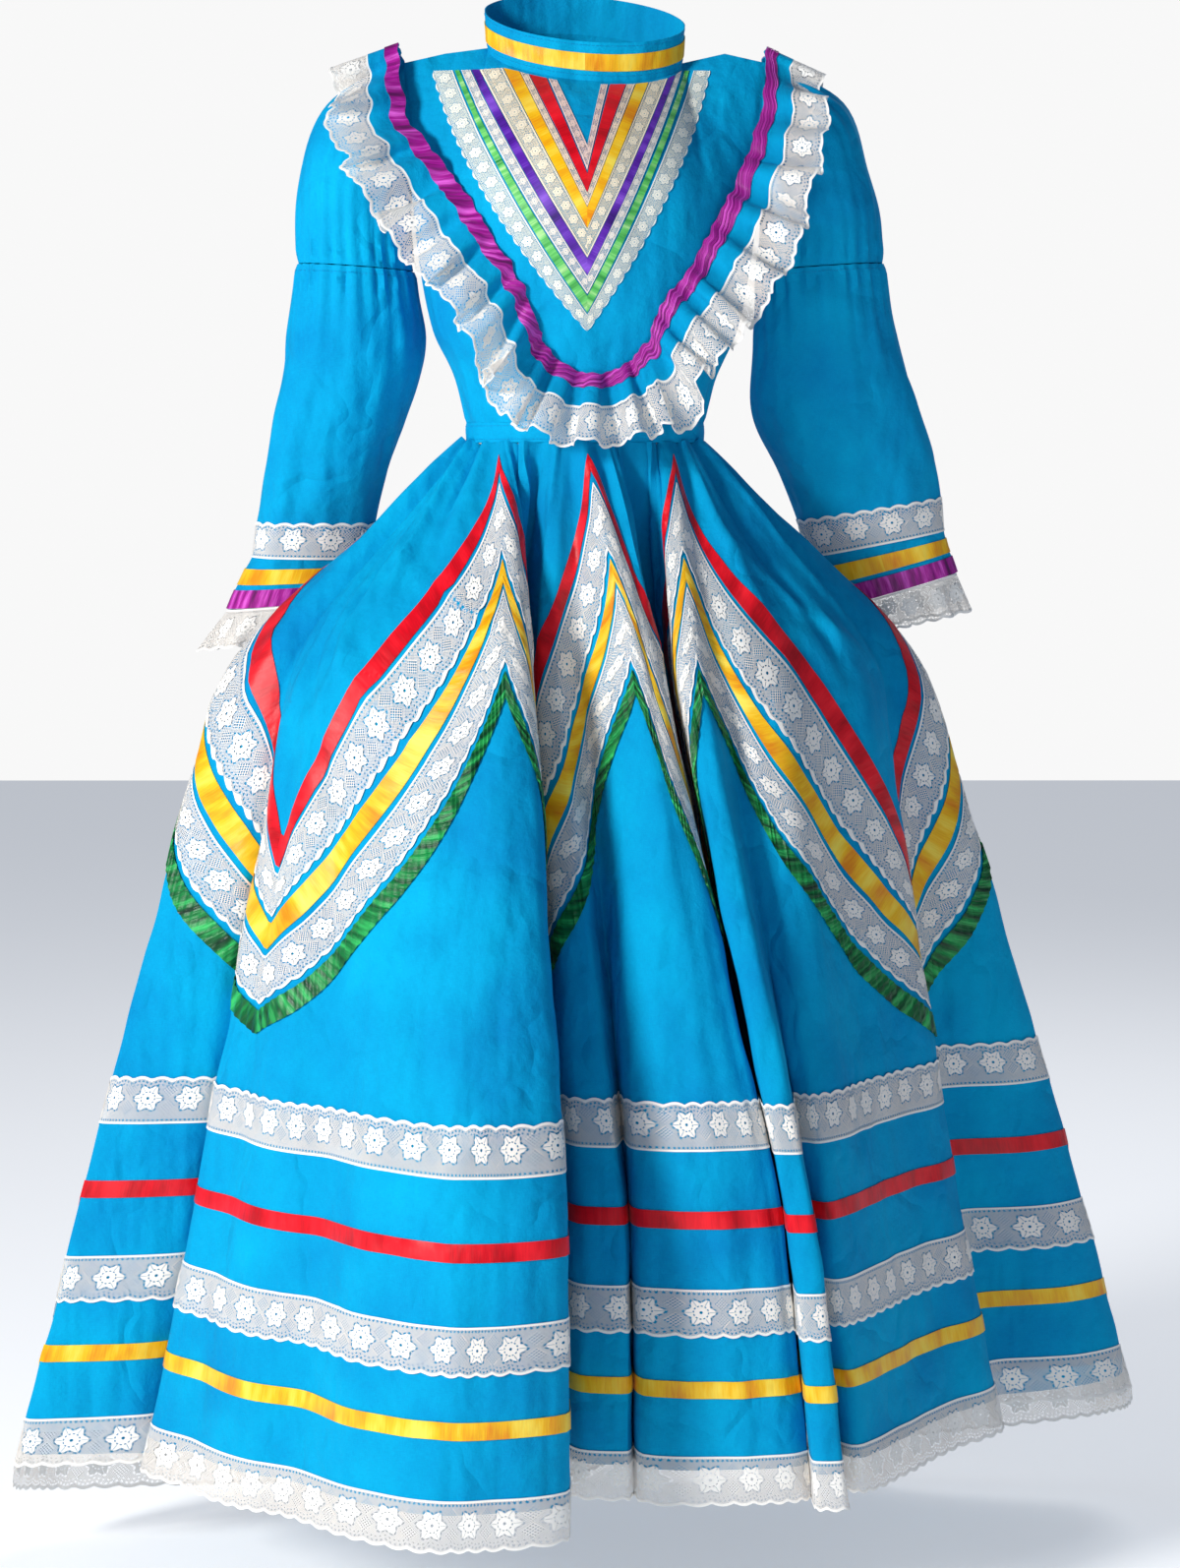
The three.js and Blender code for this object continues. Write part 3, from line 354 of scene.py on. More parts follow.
def finer_columns(grid, times, closed):
    """Adds columns on the straight line between each two columns."""
    line = np.concatenate([grid, grid[:, :1]], axis=1) if closed else grid
    parts = (np.arange(times) / times).reshape(1, 1, times, *[1] * (grid.ndim - 2))
    filled = line[:, :-1, None] + (line[:, 1:, None] - line[:, :-1, None]) * parts
    filled = filled.reshape(len(grid), -1, *grid.shape[2:])
    return filled if closed else np.concatenate([filled, line[:, -1:]], axis=1)


def grid_uv(points, closed=False):
    """Flat places from the lengths along the middle row and down the middle column."""
    rows, columns = points.shape[:2]
    along = running_length(points, closed)[rows // 2]
    down = np.linalg.norm(np.diff(points[:, columns // 2], axis=0), axis=1)
    down = np.concatenate([[0], np.cumsum(down)])
    return same_uv(along[None] * METRES, down[:, None] * METRES)


SCALLOP_DEPTH = 2.6


def scallop(along, repeat, depth):
    """How far a scalloped edge is drawn in, for lengths along it in millimetres."""
    return depth * (1 - np.abs(np.sin(np.pi * along / repeat)))


# Materials ---------------------------------------------------------------------------------


class Wire:
    """A shader value that can stand in a Python expression."""

    def __init__(self, finish, socket):
        self.finish, self.socket = finish, socket

    def __add__(self, other): return self.finish.maths("ADD", self, other)
    def __sub__(self, other): return self.finish.maths("SUBTRACT", self, other)
    def __rsub__(self, other): return self.finish.maths("SUBTRACT", other, self)
    def __mul__(self, other): return self.finish.maths("MULTIPLY", self, other)
    def __truediv__(self, other): return self.finish.maths("DIVIDE", self, other)
    def __pow__(self, other): return self.finish.maths("POWER", self, other)
    def __abs__(self): return self.finish.maths("ABSOLUTE", self)
    def __lt__(self, other): return self.finish.maths("LESS_THAN", self, other)
    def __gt__(self, other): return self.finish.maths("GREATER_THAN", self, other)
    def __or__(self, other): return self.finish.maths("MAXIMUM", self, other)
    def __and__(self, other): return self.finish.maths("MULTIPLY", self, other)
    def sin(self): return self.finish.maths("SINE", self)
    def cos(self): return self.finish.maths("COSINE", self)
    def fract(self): return self.finish.maths("FRACT", self)
    def angle(self, other): return self.finish.maths("ARCTAN2", self, other)


class Finish:
    """One material: a Principled shader and the nodes that feed it."""

    def __init__(self, name, **constants):
        self.material = bpy.data.materials.new(name)
        self.material.use_nodes = True
        self.tree = self.material.node_tree
        self.tree.nodes.clear()
        self.shader = self.node("ShaderNodeBsdfPrincipled", constants)
        self.node("ShaderNodeOutputMaterial", {"Surface": self.out(self.shader, "BSDF")})

    def node(self, kind, inputs=None, stops=None, **settings):
        made = self.tree.nodes.new(kind)
        for key, value in settings.items():
            setattr(made, key, value)
        if stops:
            elements = made.color_ramp.elements
            while len(elements) < len(stops):
                elements.new(1)
            for element, (position, colour) in zip(elements, stops):
                element.position = position
                element.color = (*colour, 1)
        for key, value in (inputs or {}).items():
            if isinstance(value, Wire):
                self.tree.links.new(value.socket, made.inputs[key])
            else:
                made.inputs[key].default_value = value
        return made

    def out(self, node, name=0):
        return Wire(self, node.outputs[name])

    def maths(self, operation, *values):
        return self.out(self.node("ShaderNodeMath", dict(enumerate(values)), operation=operation))

    def set(self, socket, value):
        self.tree.links.new(value.socket, self.shader.inputs[socket])

    def flat_cloth(self):
        """Millimetres along and across the flat cloth."""
        uv = self.out(self.node("ShaderNodeUVMap", uv_map="flat_cloth"))
        parts = self.node("ShaderNodeSeparateXYZ", {0: uv})
        return uv, self.out(parts, "X") * 1000, self.out(parts, "Y") * 1000

    def cloud(self, vector, scale, detail=2.0, roughness=0.5):
        inputs = {"Vector": vector, "Scale": scale, "Detail": detail, "Roughness": roughness}
        return self.out(self.node("ShaderNodeTexNoise", inputs), "Fac")

    def stretched(self, vector, scale):
        return self.out(self.node("ShaderNodeMapping", {"Vector": vector, "Scale": scale}))

    def object_place(self):
        return self.out(self.node("ShaderNodeTexCoord"), "Object")

    def colour(self, factor, stops):
        return self.out(self.node("ShaderNodeValToRGB", {"Fac": factor}, stops=stops), "Color")

    def blend(self, factor, a, b, blend_type="MIX"):
        made = self.node("ShaderNodeMix", None, data_type="RGBA", blend_type=blend_type)
        for socket, value in ((made.inputs[0], factor), (made.inputs[6], a), (made.inputs[7], b)):
            if isinstance(value, Wire):
                self.tree.links.new(value.socket, socket)
            else:
                socket.default_value = value if isinstance(value, float) else (*value, 1)
        return Wire(self, made.outputs[2])

    def relief(self, height, distance, strength=1.0, under=None):
        inputs = {"Height": height, "Distance": distance, "Strength": strength}
        if under is not None:
            inputs["Normal"] = under
        return self.out(self.node("ShaderNodeBump", inputs), "Normal")


def linear(red, green, blue):
    """A colour given as it looks on a screen, from 0 to 255, for a shader."""
    def one(value):
        part = value / 255
        return part / 12.92 if part <= 0.04045 else ((part + 0.055) / 1.055) ** 2.4
    return one(red), one(green), one(blue)


TURN = 2 * math.pi


def cotton_finish(name, dark, light):
    """Plain woven cotton: a fine weave, slubs, soft mottling and small crumples."""
    f = Finish(name, **{"Roughness": 0.8, "Sheen Weight": 0.05, "Sheen Roughness": 0.4,
                        "Sheen Tint": (0.1, 0.6, 1.0, 1.0), "Specular IOR Level": 0.08})
    uv, along, across = f.flat_cloth()
    place = f.object_place()
    mottle = f.cloud(place, 9, 3, 0.55)
    slubs = f.cloud(f.stretched(uv, (160, 1500, 1)), 1, 2, 0.6)
    threads = f.cloud(f.stretched(uv, (1500, 190, 1)), 1, 2, 0.6)
    tone = mottle * 0.62 + slubs * 0.2 + threads * 0.18
    f.set("Base Color", f.colour(tone, [(0.3, dark), (0.7, light)]))
    weave = (along * (TURN / 1.1)).sin() * (across * (TURN / 1.1)).sin()
    crumple = f.cloud(place, 34, 4, 0.6)
    fine = f.relief(weave + slubs * 1.2 + threads * 1.2, 0.00012, 0.6)
    small = f.relief(crumple, 0.0045, 0.6, fine)
    drag = f.cloud(f.stretched(place, (26, 26, 5)), 1, 2, 0.5)
    folds = f.relief(drag, 0.016, 0.6, small)
    sharp = f.maths("MINIMUM", abs(f.cloud(f.stretched(place, (8, 8, 7)), 1, 3, 0.5) - 0.5), 0.045)
    f.set("Normal", f.relief(sharp, 0.045, 0.6, folds))
    return f.material


def thread_finish(name, dark, light):
    """Sewing thread, with painted shade where it is twisted in."""
    f = Finish(name, **{"Roughness": 0.6, "Specular IOR Level": 0.2})
    twist_and_shade = f.cloud(f.stretched(f.object_place(), (900, 900, 1600)), 1, 2, 0.5)
    # Painted shade: the colour is darker in the twist's grooves; the same noise also makes the
    # bump.
    f.set("Base Color", f.colour(twist_and_shade, [(0.35, dark), (0.65, light)]))
    f.set("Normal", f.relief(twist_and_shade, 0.0002, 0.6))
    return f.material


def satin_finish(name, deep, main, painted_highlight, ruched=False):
    """Woven satin ribbon: long threads, and painted sheen, patches of brighter and deeper colour
    along it.
    """
    f = Finish(name, **{"Roughness": 0.34, "Sheen Weight": 0.05, "Specular IOR Level": 0.35,
                        "Anisotropic": 0.6})
    uv, along, across = f.flat_cloth()
    # Painted sheen: noise patches push the colour up to the painted highlight stop and down to the
    # deep stop, which is painted shade.
    painted_sheen_patches = f.cloud(f.stretched(uv, (110 if ruched else 42, 16, 1)), 1, 2, 0.5)
    ribs = f.cloud(f.stretched(uv, (900, 60, 1)), 1, 2, 0.5)
    tone = painted_sheen_patches * 0.8 + ribs * 0.2
    f.set("Base Color", f.colour(tone, [(0.36, deep), (0.5, main), (0.66, painted_highlight)]))
    f.set("Roughness", painted_sheen_patches * 0.25 + 0.24)
    height = (along * (TURN / 0.8)).sin() * 0.5 + ribs
    fine = f.relief(height, 0.0001, 0.5)
    puckers = f.cloud(f.stretched(uv, (150 if ruched else 70, 26, 1)), 1, 2, 0.5)
    f.set("Normal", f.relief(puckers, 0.0042 if ruched else 0.0022, 0.7, fine))
    return f.material


# The wide lace's pattern, in millimetres
BLOOM_REACH, BLOOM_PETALS, PETAL_WAVE = 9.8, 6, 1.7
BLOOM_HEIGHT = 0.46           # share of the lace's width
RING_RADIUS, RING_HALF_WIDTH, EYE_RADIUS = 5.6, 0.5, 1.25
SLIT_HALF_WIDTH, SLIT_START = 0.6, 6.6
HALO_GAP, HALO_HALF_WIDTH = 1.1, 0.75
LATTICE_STEP, LATTICE_REACH = 2.7, 6.4
NET_SHARE = 0.55              # step of the net behind, as a share of the lattice's
THREAD_DASH = 3.6
STRAIGHT_BORDER, WAVY_BORDER = 1.8, 2.4


def lace_finish(name, width, light, shade, scale=1.0, edges="foot"):
    """Flower lace: round blooms with ringed petals, open lattice between them, net behind."""
    f = Finish(name, **{"Roughness": 0.85, "Sheen Weight": 0.1, "Specular IOR Level": 0.15})
    uv, along, across = f.flat_cloth()
    repeat = REPEAT * scale
    x = ((along / repeat).fract() - 0.5) * repeat
    y = across - width * BLOOM_HEIGHT
    radius = (x * x + y * y) ** 0.5
    turn = y.angle(x)

    def net(step, thread):
        one, other = ((line * (math.pi / step)).sin() for line in (along + across, along - across))
        return (abs(one) < thread) | (abs(other) < thread)

    # The flower and the holes in it
    petal_edge = (turn * BLOOM_PETALS).cos() * (PETAL_WAVE * scale) + BLOOM_REACH * scale
    bloom = radius < petal_edge
    off_ring = abs(radius - RING_RADIUS * scale)
    ring = (off_ring < RING_HALF_WIDTH * scale) & ((turn * (2 * BLOOM_PETALS)).sin() > -0.1)
    off_slit = abs((turn * (BLOOM_PETALS / 2)).sin()) * radius
    slits = (off_slit < SLIT_HALF_WIDTH * scale) & (radius > SLIT_START * scale)
    off_halo = abs(radius - petal_edge - HALO_GAP * scale)
    halo = (off_halo < HALO_HALF_WIDTH * scale) & ((turn * 22).sin() > -0.45)
    bloom_thread = bloom & (1 - (bloom & (ring | slits | (radius < EYE_RADIUS * scale))))

    # Clusters of open lattice between the flowers, and the net behind
    side = repeat / 2 - abs(x)
    from_cluster = abs(abs(y) - width * 0.17) / (width * 0.16)
    lattice_zone = side / (LATTICE_REACH * scale) + from_cluster < 1
    step = LATTICE_STEP * max(scale, 0.6)
    lattice, fine = net(step, 0.4), net(step * NET_SHARE, 0.4)

    # Rows of holes along both edges, and solid borders
    wave = abs((along * (math.pi / (REPEAT / 2))).sin())
    drawn_in = (1 - wave) * SCALLOP_DEPTH if edges in ("top", "foot") else 0.0
    from_straight = width - across if edges == "top" else across
    from_wavy = (across if edges == "top" else width - across) - drawn_in
    dash = along * (TURN / (THREAD_DASH * scale))
    straight_row = (abs(from_straight - 3.4 * scale) < 0.9 * scale) & (dash.sin() > 0.1)
    wavy_row = (abs(from_wavy - 4.4 * scale) < 0.8 * scale) & (dash.sin() > 0.1)
    inner_row = (abs(from_wavy - 7.4 * scale) < 0.6 * scale) & ((dash + 1.6).sin() > 0.35)
    borders = (from_straight < STRAIGHT_BORDER * scale) | (from_wavy < WAVY_BORDER * scale)

    ground = (1 - bloom) & (((1 - lattice_zone) & fine) | (lattice_zone & lattice))
    holes = straight_row | wavy_row | inner_row | halo
    f.set("Alpha", ((bloom_thread | ground) & (1 - holes)) | borders)
    thick = bloom_thread | borders
    # Painted shade: the thin net is darker than the thick threads, and noise patches lean towards
    # the shaded colour.
    painted_shade_noise = f.cloud(f.object_place(), 14, 3, 0.55)
    f.set("Base Color", f.blend(painted_shade_noise * 0.3 + (1 - thick) * 0.25, light, shade))
    threads = f.cloud(f.stretched(uv, (1100, 1100, 1)), 1, 2, 0.6)
    f.set("Normal", f.relief(thick + threads * 0.4, 0.0006, 0.6))
    return f.material


BLUE = cotton_finish("cotton_turquoise", linear(0, 130, 190), linear(0, 176, 221))
# Each satin: deep colour (painted shade), its own colour, then bright colour (painted highlight).
RED = satin_finish("satin_red", linear(178, 0, 16), linear(224, 2, 26), linear(250, 24, 40))
YELLOW = satin_finish("satin_yellow", linear(230, 136, 0), linear(248, 190, 12),
                      linear(255, 226, 84))
MAGENTA = satin_finish("satin_magenta", linear(92, 4, 84), linear(168, 18, 146),
                       linear(228, 96, 214), ruched=True)
GREEN = satin_finish("satin_green", linear(0, 44, 24), linear(0, 112, 52), linear(48, 188, 96),
                     ruched=True)
LIGHT_GREEN = satin_finish("satin_green_light", linear(40, 140, 60), linear(96, 196, 96),
                           linear(176, 228, 150), ruched=True)
PURPLE = satin_finish("satin_purple", linear(50, 14, 106), linear(92, 34, 168),
                      linear(140, 84, 214))
# IVORY_SHADE is painted shade: the lace's colour where it would lie in shadow.
IVORY, IVORY_SHADE = linear(253, 250, 244), linear(232, 218, 206)
LACE_WIDTH, CUFF_LACE_WIDTH, CHEVRON_RIBBON, LEVEL_RIBBON = 42.0, 36.0, 18.0, 15.0
LACE_FOOT = lace_finish("lace_scalloped_foot", LACE_WIDTH, IVORY, IVORY_SHADE, edges="foot")
LACE_TOP = lace_finish("lace_scalloped_top", LACE_WIDTH, IVORY, IVORY_SHADE, edges="top")
LACE_CUFF = lace_finish("lace_cuff", CUFF_LACE_WIDTH, IVORY, IVORY_SHADE, edges="top")
# Each yoke lace: name, width, lit colour, painted shade colour and pattern scale.
YOKE_LACE_LOOKS = [
    ("yoke_lace_inner", 5.9, (254, 226, 214), (248, 196, 180), 0.3),
    ("yoke_lace_red", 5.1, (254, 232, 208), (250, 208, 170), 0.3),
    ("yoke_lace_yellow", 13.4, (253, 242, 218), (248, 222, 178), 0.4),
    ("yoke_lace_purple", 7.0, (248, 242, 232), (226, 218, 214), 0.3),
    ("yoke_lace_outer", 17.1, (252, 251, 240), (228, 234, 216), 0.45),
]
YOKE_LACE = {name: lace_finish(name, width, linear(*light), linear(*shade), scale, "none")
             for name, width, light, shade, scale in YOKE_LACE_LOOKS}


def blue_piece(name, points, normals, uv=None, closed=False, layer=CLOTH_LAYER):
    uv = grid_uv(points, closed) if uv is None else uv
    cloth_piece(name, points, normals, layer, BLUE, "cloth_blue", uv, closed)


# Skirt -------------------------------------------------------------------------------------


def fold_table():
    table = list(FRONT_FOLDS)
    left, right = FRONT_FOLDS[0], FRONT_FOLDS[-1]
    for step in range(1, BACK_STEPS):
        even = math.pi * step / BACK_STEPS
        angle = even + BACK_EVENNESS * math.sin(2 * even)
        line = [0.25 + 0.5 * step / BACK_STEPS]
        for depth, fold, at in ((BACK_HIP_DEPTH, BACK_HIP_FOLD, 1),
                                (BACK_BAND_DEPTH, BACK_BAND_FOLD, 3)):
            x = mix(left[at], right[at], (1 + math.cos(angle)) / 2)
            y = mix(right[at + 1], left[at + 1], step / BACK_STEPS) + depth * math.sin(angle)
            shrink = 1 - BACK_FOLDS.get(step, 0) * fold / math.hypot(x, y)
            line += [x * shrink, y * shrink]
        table.append(tuple(line))
    return np.array(table)


FOLDS = fold_table()
FRONT_CELLS, BACK_CELLS = 256, 192
SHARES = np.concatenate([np.linspace(-0.25, 0.25, FRONT_CELLS, endpoint=False),
                         np.linspace(0.25, 0.75, BACK_CELLS, endpoint=False)])

# Soft creases in the skirt's cloth: share and height at each end, half width, depth (a
# positive depth is a ridge)
CREASES = [
    (-0.190, -560, -0.196, -1240, 26, 5.0), (-0.176, -640, -0.172, -1250, 18, -4.0),
    (-0.158, -700, -0.160, -1250, 24, 4.5), (-0.146, -820, -0.142, -1250, 14, -3.0),
    (-0.205, -480, -0.150, -620, 16, 4.5), (-0.215, -500, -0.170, -690, 14, -3.5),
    (-0.200, -430, -0.120, -520, 12, 3.5), (-0.225, -450, -0.200, -760, 15, 4.0),
    (-0.150, -1040, -0.176, -1110, 9, 2.2), (-0.186, -1060, -0.168, -1150, 8, -2.0),
    (-0.140, -980, -0.160, -1030, 8, -1.8), (-0.130, -900, -0.150, -980, 9, 2.0),
    (0.006, -620, 0.010, -1250, 12, 3.0), (0.020, -760, 0.026, -1250, 9, -2.5),
    (-0.003, -700, -0.002, -1200, 8, -2.2), (0.138, -640, 0.142, -1250, 10, 2.6),
    (0.156, -520, 0.160, -1000, 18, 4.0), (0.172, -560, 0.178, -1250, 16, -3.6),
    (0.190, -480, 0.196, -1250, 20, 4.0), (0.150, -420, 0.205, -560, 13, 3.6),
    (0.180, -900, 0.160, -1010, 9, 2.0), (0.200, -430, 0.225, -700, 12, -3.0),
    (0.300, -460, 0.310, -1250, 24, 5.0), (0.350, -420, 0.345, -1250, 20, -4.0),
    (0.420, -520, 0.430, -1250, 26, 5.0), (0.470, -430, 0.462, -1250, 18, -4.0),
    (0.530, -480, 0.540, -1250, 24, 5.0), (0.600, -440, 0.590, -1250, 18, -4.0),
    (0.660, -500, 0.668, -1250, 24, 4.5), (0.710, -430, 0.700, -1250, 16, -4.0),
    (-0.236, -354, -0.233, -640, 9, 5.5), (-0.226, -354, -0.224, -600, 8, -5.0),
    (-0.214, -354, -0.208, -600, 8, 5.5), (-0.203, -354, -0.190, -560, 8, -4.5),
    (-0.190, -354, -0.172, -520, 8, 4.5), (-0.176, -354, -0.158, -470, 7, -3.5),
    (-0.110, -354, -0.104, -560, 7, 4.0), (-0.096, -354, -0.092, -600, 6, -4.0),
    (-0.080, -354, -0.078, -540, 7, 4.0), (-0.036, -354, -0.034, -560, 6, 3.5),
    (0.026, -354, 0.030, -560, 6, 4.0), (0.040, -354, 0.046, -600, 6, -4.0),
    (0.090, -354, 0.086, -560, 6, 4.0), (0.104, -354, 0.100, -600, 6, -3.5),
    (0.150, -354, 0.162, -520, 8, 4.5), (0.170, -354, 0.186, -560, 8, -4.5),
    (0.190, -354, 0.208, -600, 8, 5.0), (0.214, -354, 0.226, -620, 8, -4.5),
]
WAIST_GATHERS = 26


def zigzag_height(edge, share):
    peak, middle, valley = edge
    after = np.searchsorted(CHEVRON_TURNS, share, side="right")
    start, end = CHEVRON_TURNS[after - 1], CHEVRON_TURNS[after]
    part = (share - start) / (end - start)
    down = np.where(after % 2, part, 1 - part)
    low = np.where(np.where(after % 2, end, start) == LOW_VALLEY, LOW_VALLEY_DROP, 0)
    bend = middle - (peak + valley) / 2
    return mix(peak, valley - low, down) + 4 * bend * down * (1 - down)


def skirt_line(shares, z):
    """Straight-sided skirt: where each fold line passes at a height, before it is softened."""
    angle = TURN * shares
    depth = np.where(np.cos(angle) > 0, WAIST_FRONT, WAIST_BACK)
    knots = FOLDS[:, 0]
    hip_x, hip_y, band_x, band_y = (soft_curve(knots, FOLDS[:, n], shares, 1.0)
                                    for n in (1, 2, 3, 4))
    hem_y = band_y * np.where(band_y < 0, HEM_SPREAD_FRONT, HEM_SPREAD_BACK)
    levels = [(WAIST_Z, WAIST_HALF_WIDTH * np.sin(angle), -depth * np.cos(angle)),
              (HIP_Z, hip_x, hip_y), (BAND_Z, band_x, band_y),
              (HEM_Z, band_x * HEM_SPREAD_X, hem_y)]
    x, y = np.zeros_like(z), np.zeros_like(z)
    for n, (upper, lower) in enumerate(zip(levels, levels[1:])):
        here = (z <= upper[0] if n else True) & (z > lower[0] if n < 2 else True)
        part = (upper[0] - z) / (upper[0] - lower[0])
        x = np.where(here, mix(upper[1], lower[1], part), x)
        y = np.where(here, mix(upper[2], lower[2], part), y)
    return x, y


def crease_depth(shares, z):
    """Gathers under the waistband, soft creases and a little crumpling."""
    down = np.maximum(WAIST_Z - z, 0)
    around = TURN * shares
    uneven = wander_round(around, 3.1, 1.7)
    run = np.maximum(100 + 75 * wander_round(around, 5.3, 8.1), 22)
    size = 5.0 + 3.2 * wander_round(around, 4.1, 4.4)
    gathers = size * np.exp(-down / run) * np.cos(WAIST_GATHERS * around + 2.4 * uneven)
    depth = gathers * np.minimum(1, 0.35 + down / 40)
    length = CLOTH_ROUND * 1000
    for share0, z0, share1, z1, width, height in CREASES:
        along = np.clip((z - z0) / (z1 - z0), 0, 1)
        spread = 0.5 + 0.5 * np.clip(down / 650, 0, 1)
        off = (shares - mix(share0, share1, along)) * length * spread
        beyond = np.maximum(np.maximum(z - max(z0, z1), min(z0, z1) - z), 0)
        start = 1 if z0 > HIP_Z + 180 else along * 5 + 0.15
        ends = np.minimum(1, np.minimum(start, (1 - along) * 5 + 0.15))
        depth = depth + height * ends * np.exp(-(off / width) ** 2 - (beyond / 40) ** 2)
    ring = length / TURN
    turn_x, turn_y = np.cos(around), np.sin(around)
    crumple = (wander_round(around, ring / 75, z / 90)
               + 0.5 * wander_over(turn_x * ring / 32 + 9, turn_y * ring / 32, z / 38))
    return depth + 2.7 * crumple * np.minimum(1, down / 60)


def skirt_points(shares, z):
    """The skirt's surface for a row of shares and a grid of heights on the flat cloth."""
    reach = np.minimum(45, np.maximum(WAIST_Z - z, 0) * 0.5)
    x, y = np.zeros_like(z), np.zeros_like(z)
    for offset in (-1, -0.5, 0, 0.5, 1):
        dx, dy = skirt_line(shares, z + offset * reach)
        x, y = x + dx / 5, y + dy / 5
    down = (WAIST_Z - z) / (WAIST_Z - HEM_Z)
    behind = np.clip(shares - 0.25, 0, 0.5) * 2
    drop = BACK_DROP * np.sqrt(np.abs(np.sin(math.pi * behind)))
    points = np.stack([x, y, z + down * (SIDE_LIFT * x / 500 - drop)], axis=-1)
    out = normals_of(points, True)
    return points + out * crease_depth(shares, z)[..., None]


FREE_LACE_ROWS = [-1236.0, -1244.0, -1252.0, -1260.0]


ROW_HEIGHT = 9                # tallest row of plain cloth


def band_edges():
    """Each band's upper and lower edge round the skirt, and its number of rows."""
    for name, upper, lower in ZIGZAG_BANDS:
        rows = 7 if "lace" in name else 3
        yield name, zigzag_height(upper, SHARES), zigzag_height(lower, SHARES), rows
    flat = np.ones_like(SHARES)
    for name, upper, lower in LEVEL_BANDS:
        rows = 6 if lower > CLOTH_END_Z and "lace" in name else 2
        yield name, upper * flat, max(lower, CLOTH_END_Z) * flat, rows


def make_skirt():
    heights, spans = [np.full_like(SHARES, WAIST_Z)], {}
    for name, upper, lower, steps in band_edges():
        gap = np.max(heights[-1] - upper)
        fill = max(1, int(math.ceil(gap / ROW_HEIGHT)))
        start = heights[-1]
        heights += [mix(start, upper, n / fill) for n in range(1, fill + 1)]
        spans[name] = (len(heights) - 1, len(heights) - 1 + steps)
        heights += [mix(upper, lower, n / steps) for n in range(1, steps + 1)]
    z = np.array(heights)
    below = np.vstack([z] + [np.full_like(SHARES, end) for end in FREE_LACE_ROWS])
    points = skirt_points(SHARES, below)
    normals = normals_of(points, True)
    flat_u = np.append(SHARES, 0.75) * CLOTH_ROUND
    flat_v = np.hstack([-z, -z[:, :1]]) * METRES
    for name, first, last in (("skirt_front", 0, FRONT_CELLS),
                              ("skirt_back", FRONT_CELLS, len(SHARES))):
        columns = np.arange(first, last + 1) % len(SHARES)
        uv = same_uv(flat_u[first:last + 1][None], flat_v[:, first:last + 1])
        blue_piece(name, points[:len(z), columns], normals[:len(z), columns], uv)
    make_skirt_bands(points, normals, below, spans)


def flat_places(step_along, step_down):
    """Length of a band up to each column, and its slope to the right and left of the column."""
    length = np.concatenate([[0], np.cumsum(np.hypot(step_along, step_down))])
    slope = step_down / step_along
    return length, np.append(slope, slope[0]), np.insert(slope, 0, slope[-1])


def band_uv(length, slopes, share, width):
    """Flat places over a band for the right and left side of each column. share runs from 0 at
    the band's upper edge to 1 at the lower one; a sloping band is cut square to its own run."""
    share = np.hstack([share, share[:, :1]]) if share.shape[1] < len(length) else share
    return [np.stack([length - (share - 0.5) * width * slope, share * width], -1) * METRES
            for slope in slopes]


def lace_share(length, width, rows, edge):
    """Rows over a lace strip, from 0 to 1, with one long edge drawn in between the scallops."""
    share = np.linspace(0, 1, rows + 1)[:, None]
    drawn = scallop(length, REPEAT / 2, SCALLOP_DEPTH)[None] / width
    if edge == "top":
        return mix(drawn, 1, share)
    if edge == "foot":
        return share * (1 - drawn)
    return np.broadcast_to(share, (rows + 1, len(length)))


def unit(vectors):
    return vectors / np.linalg.norm(vectors, axis=2, keepdims=True)


# Rounds of the skirt at the level bands and, on average, at the zigzags
LEVEL_RING, ZIGZAG_RING = 4240, 2900
RIBBONS = {"red": (RED, "satin_red"), "yellow": (YELLOW, "satin_yellow"),
           "green": (GREEN, "satin_green"), "purple": (PURPLE, "satin_purple"),
           "magenta": (MAGENTA, "satin_magenta")}
RUCHE_STEP, RUCHE_HEIGHT = 9, 0.8


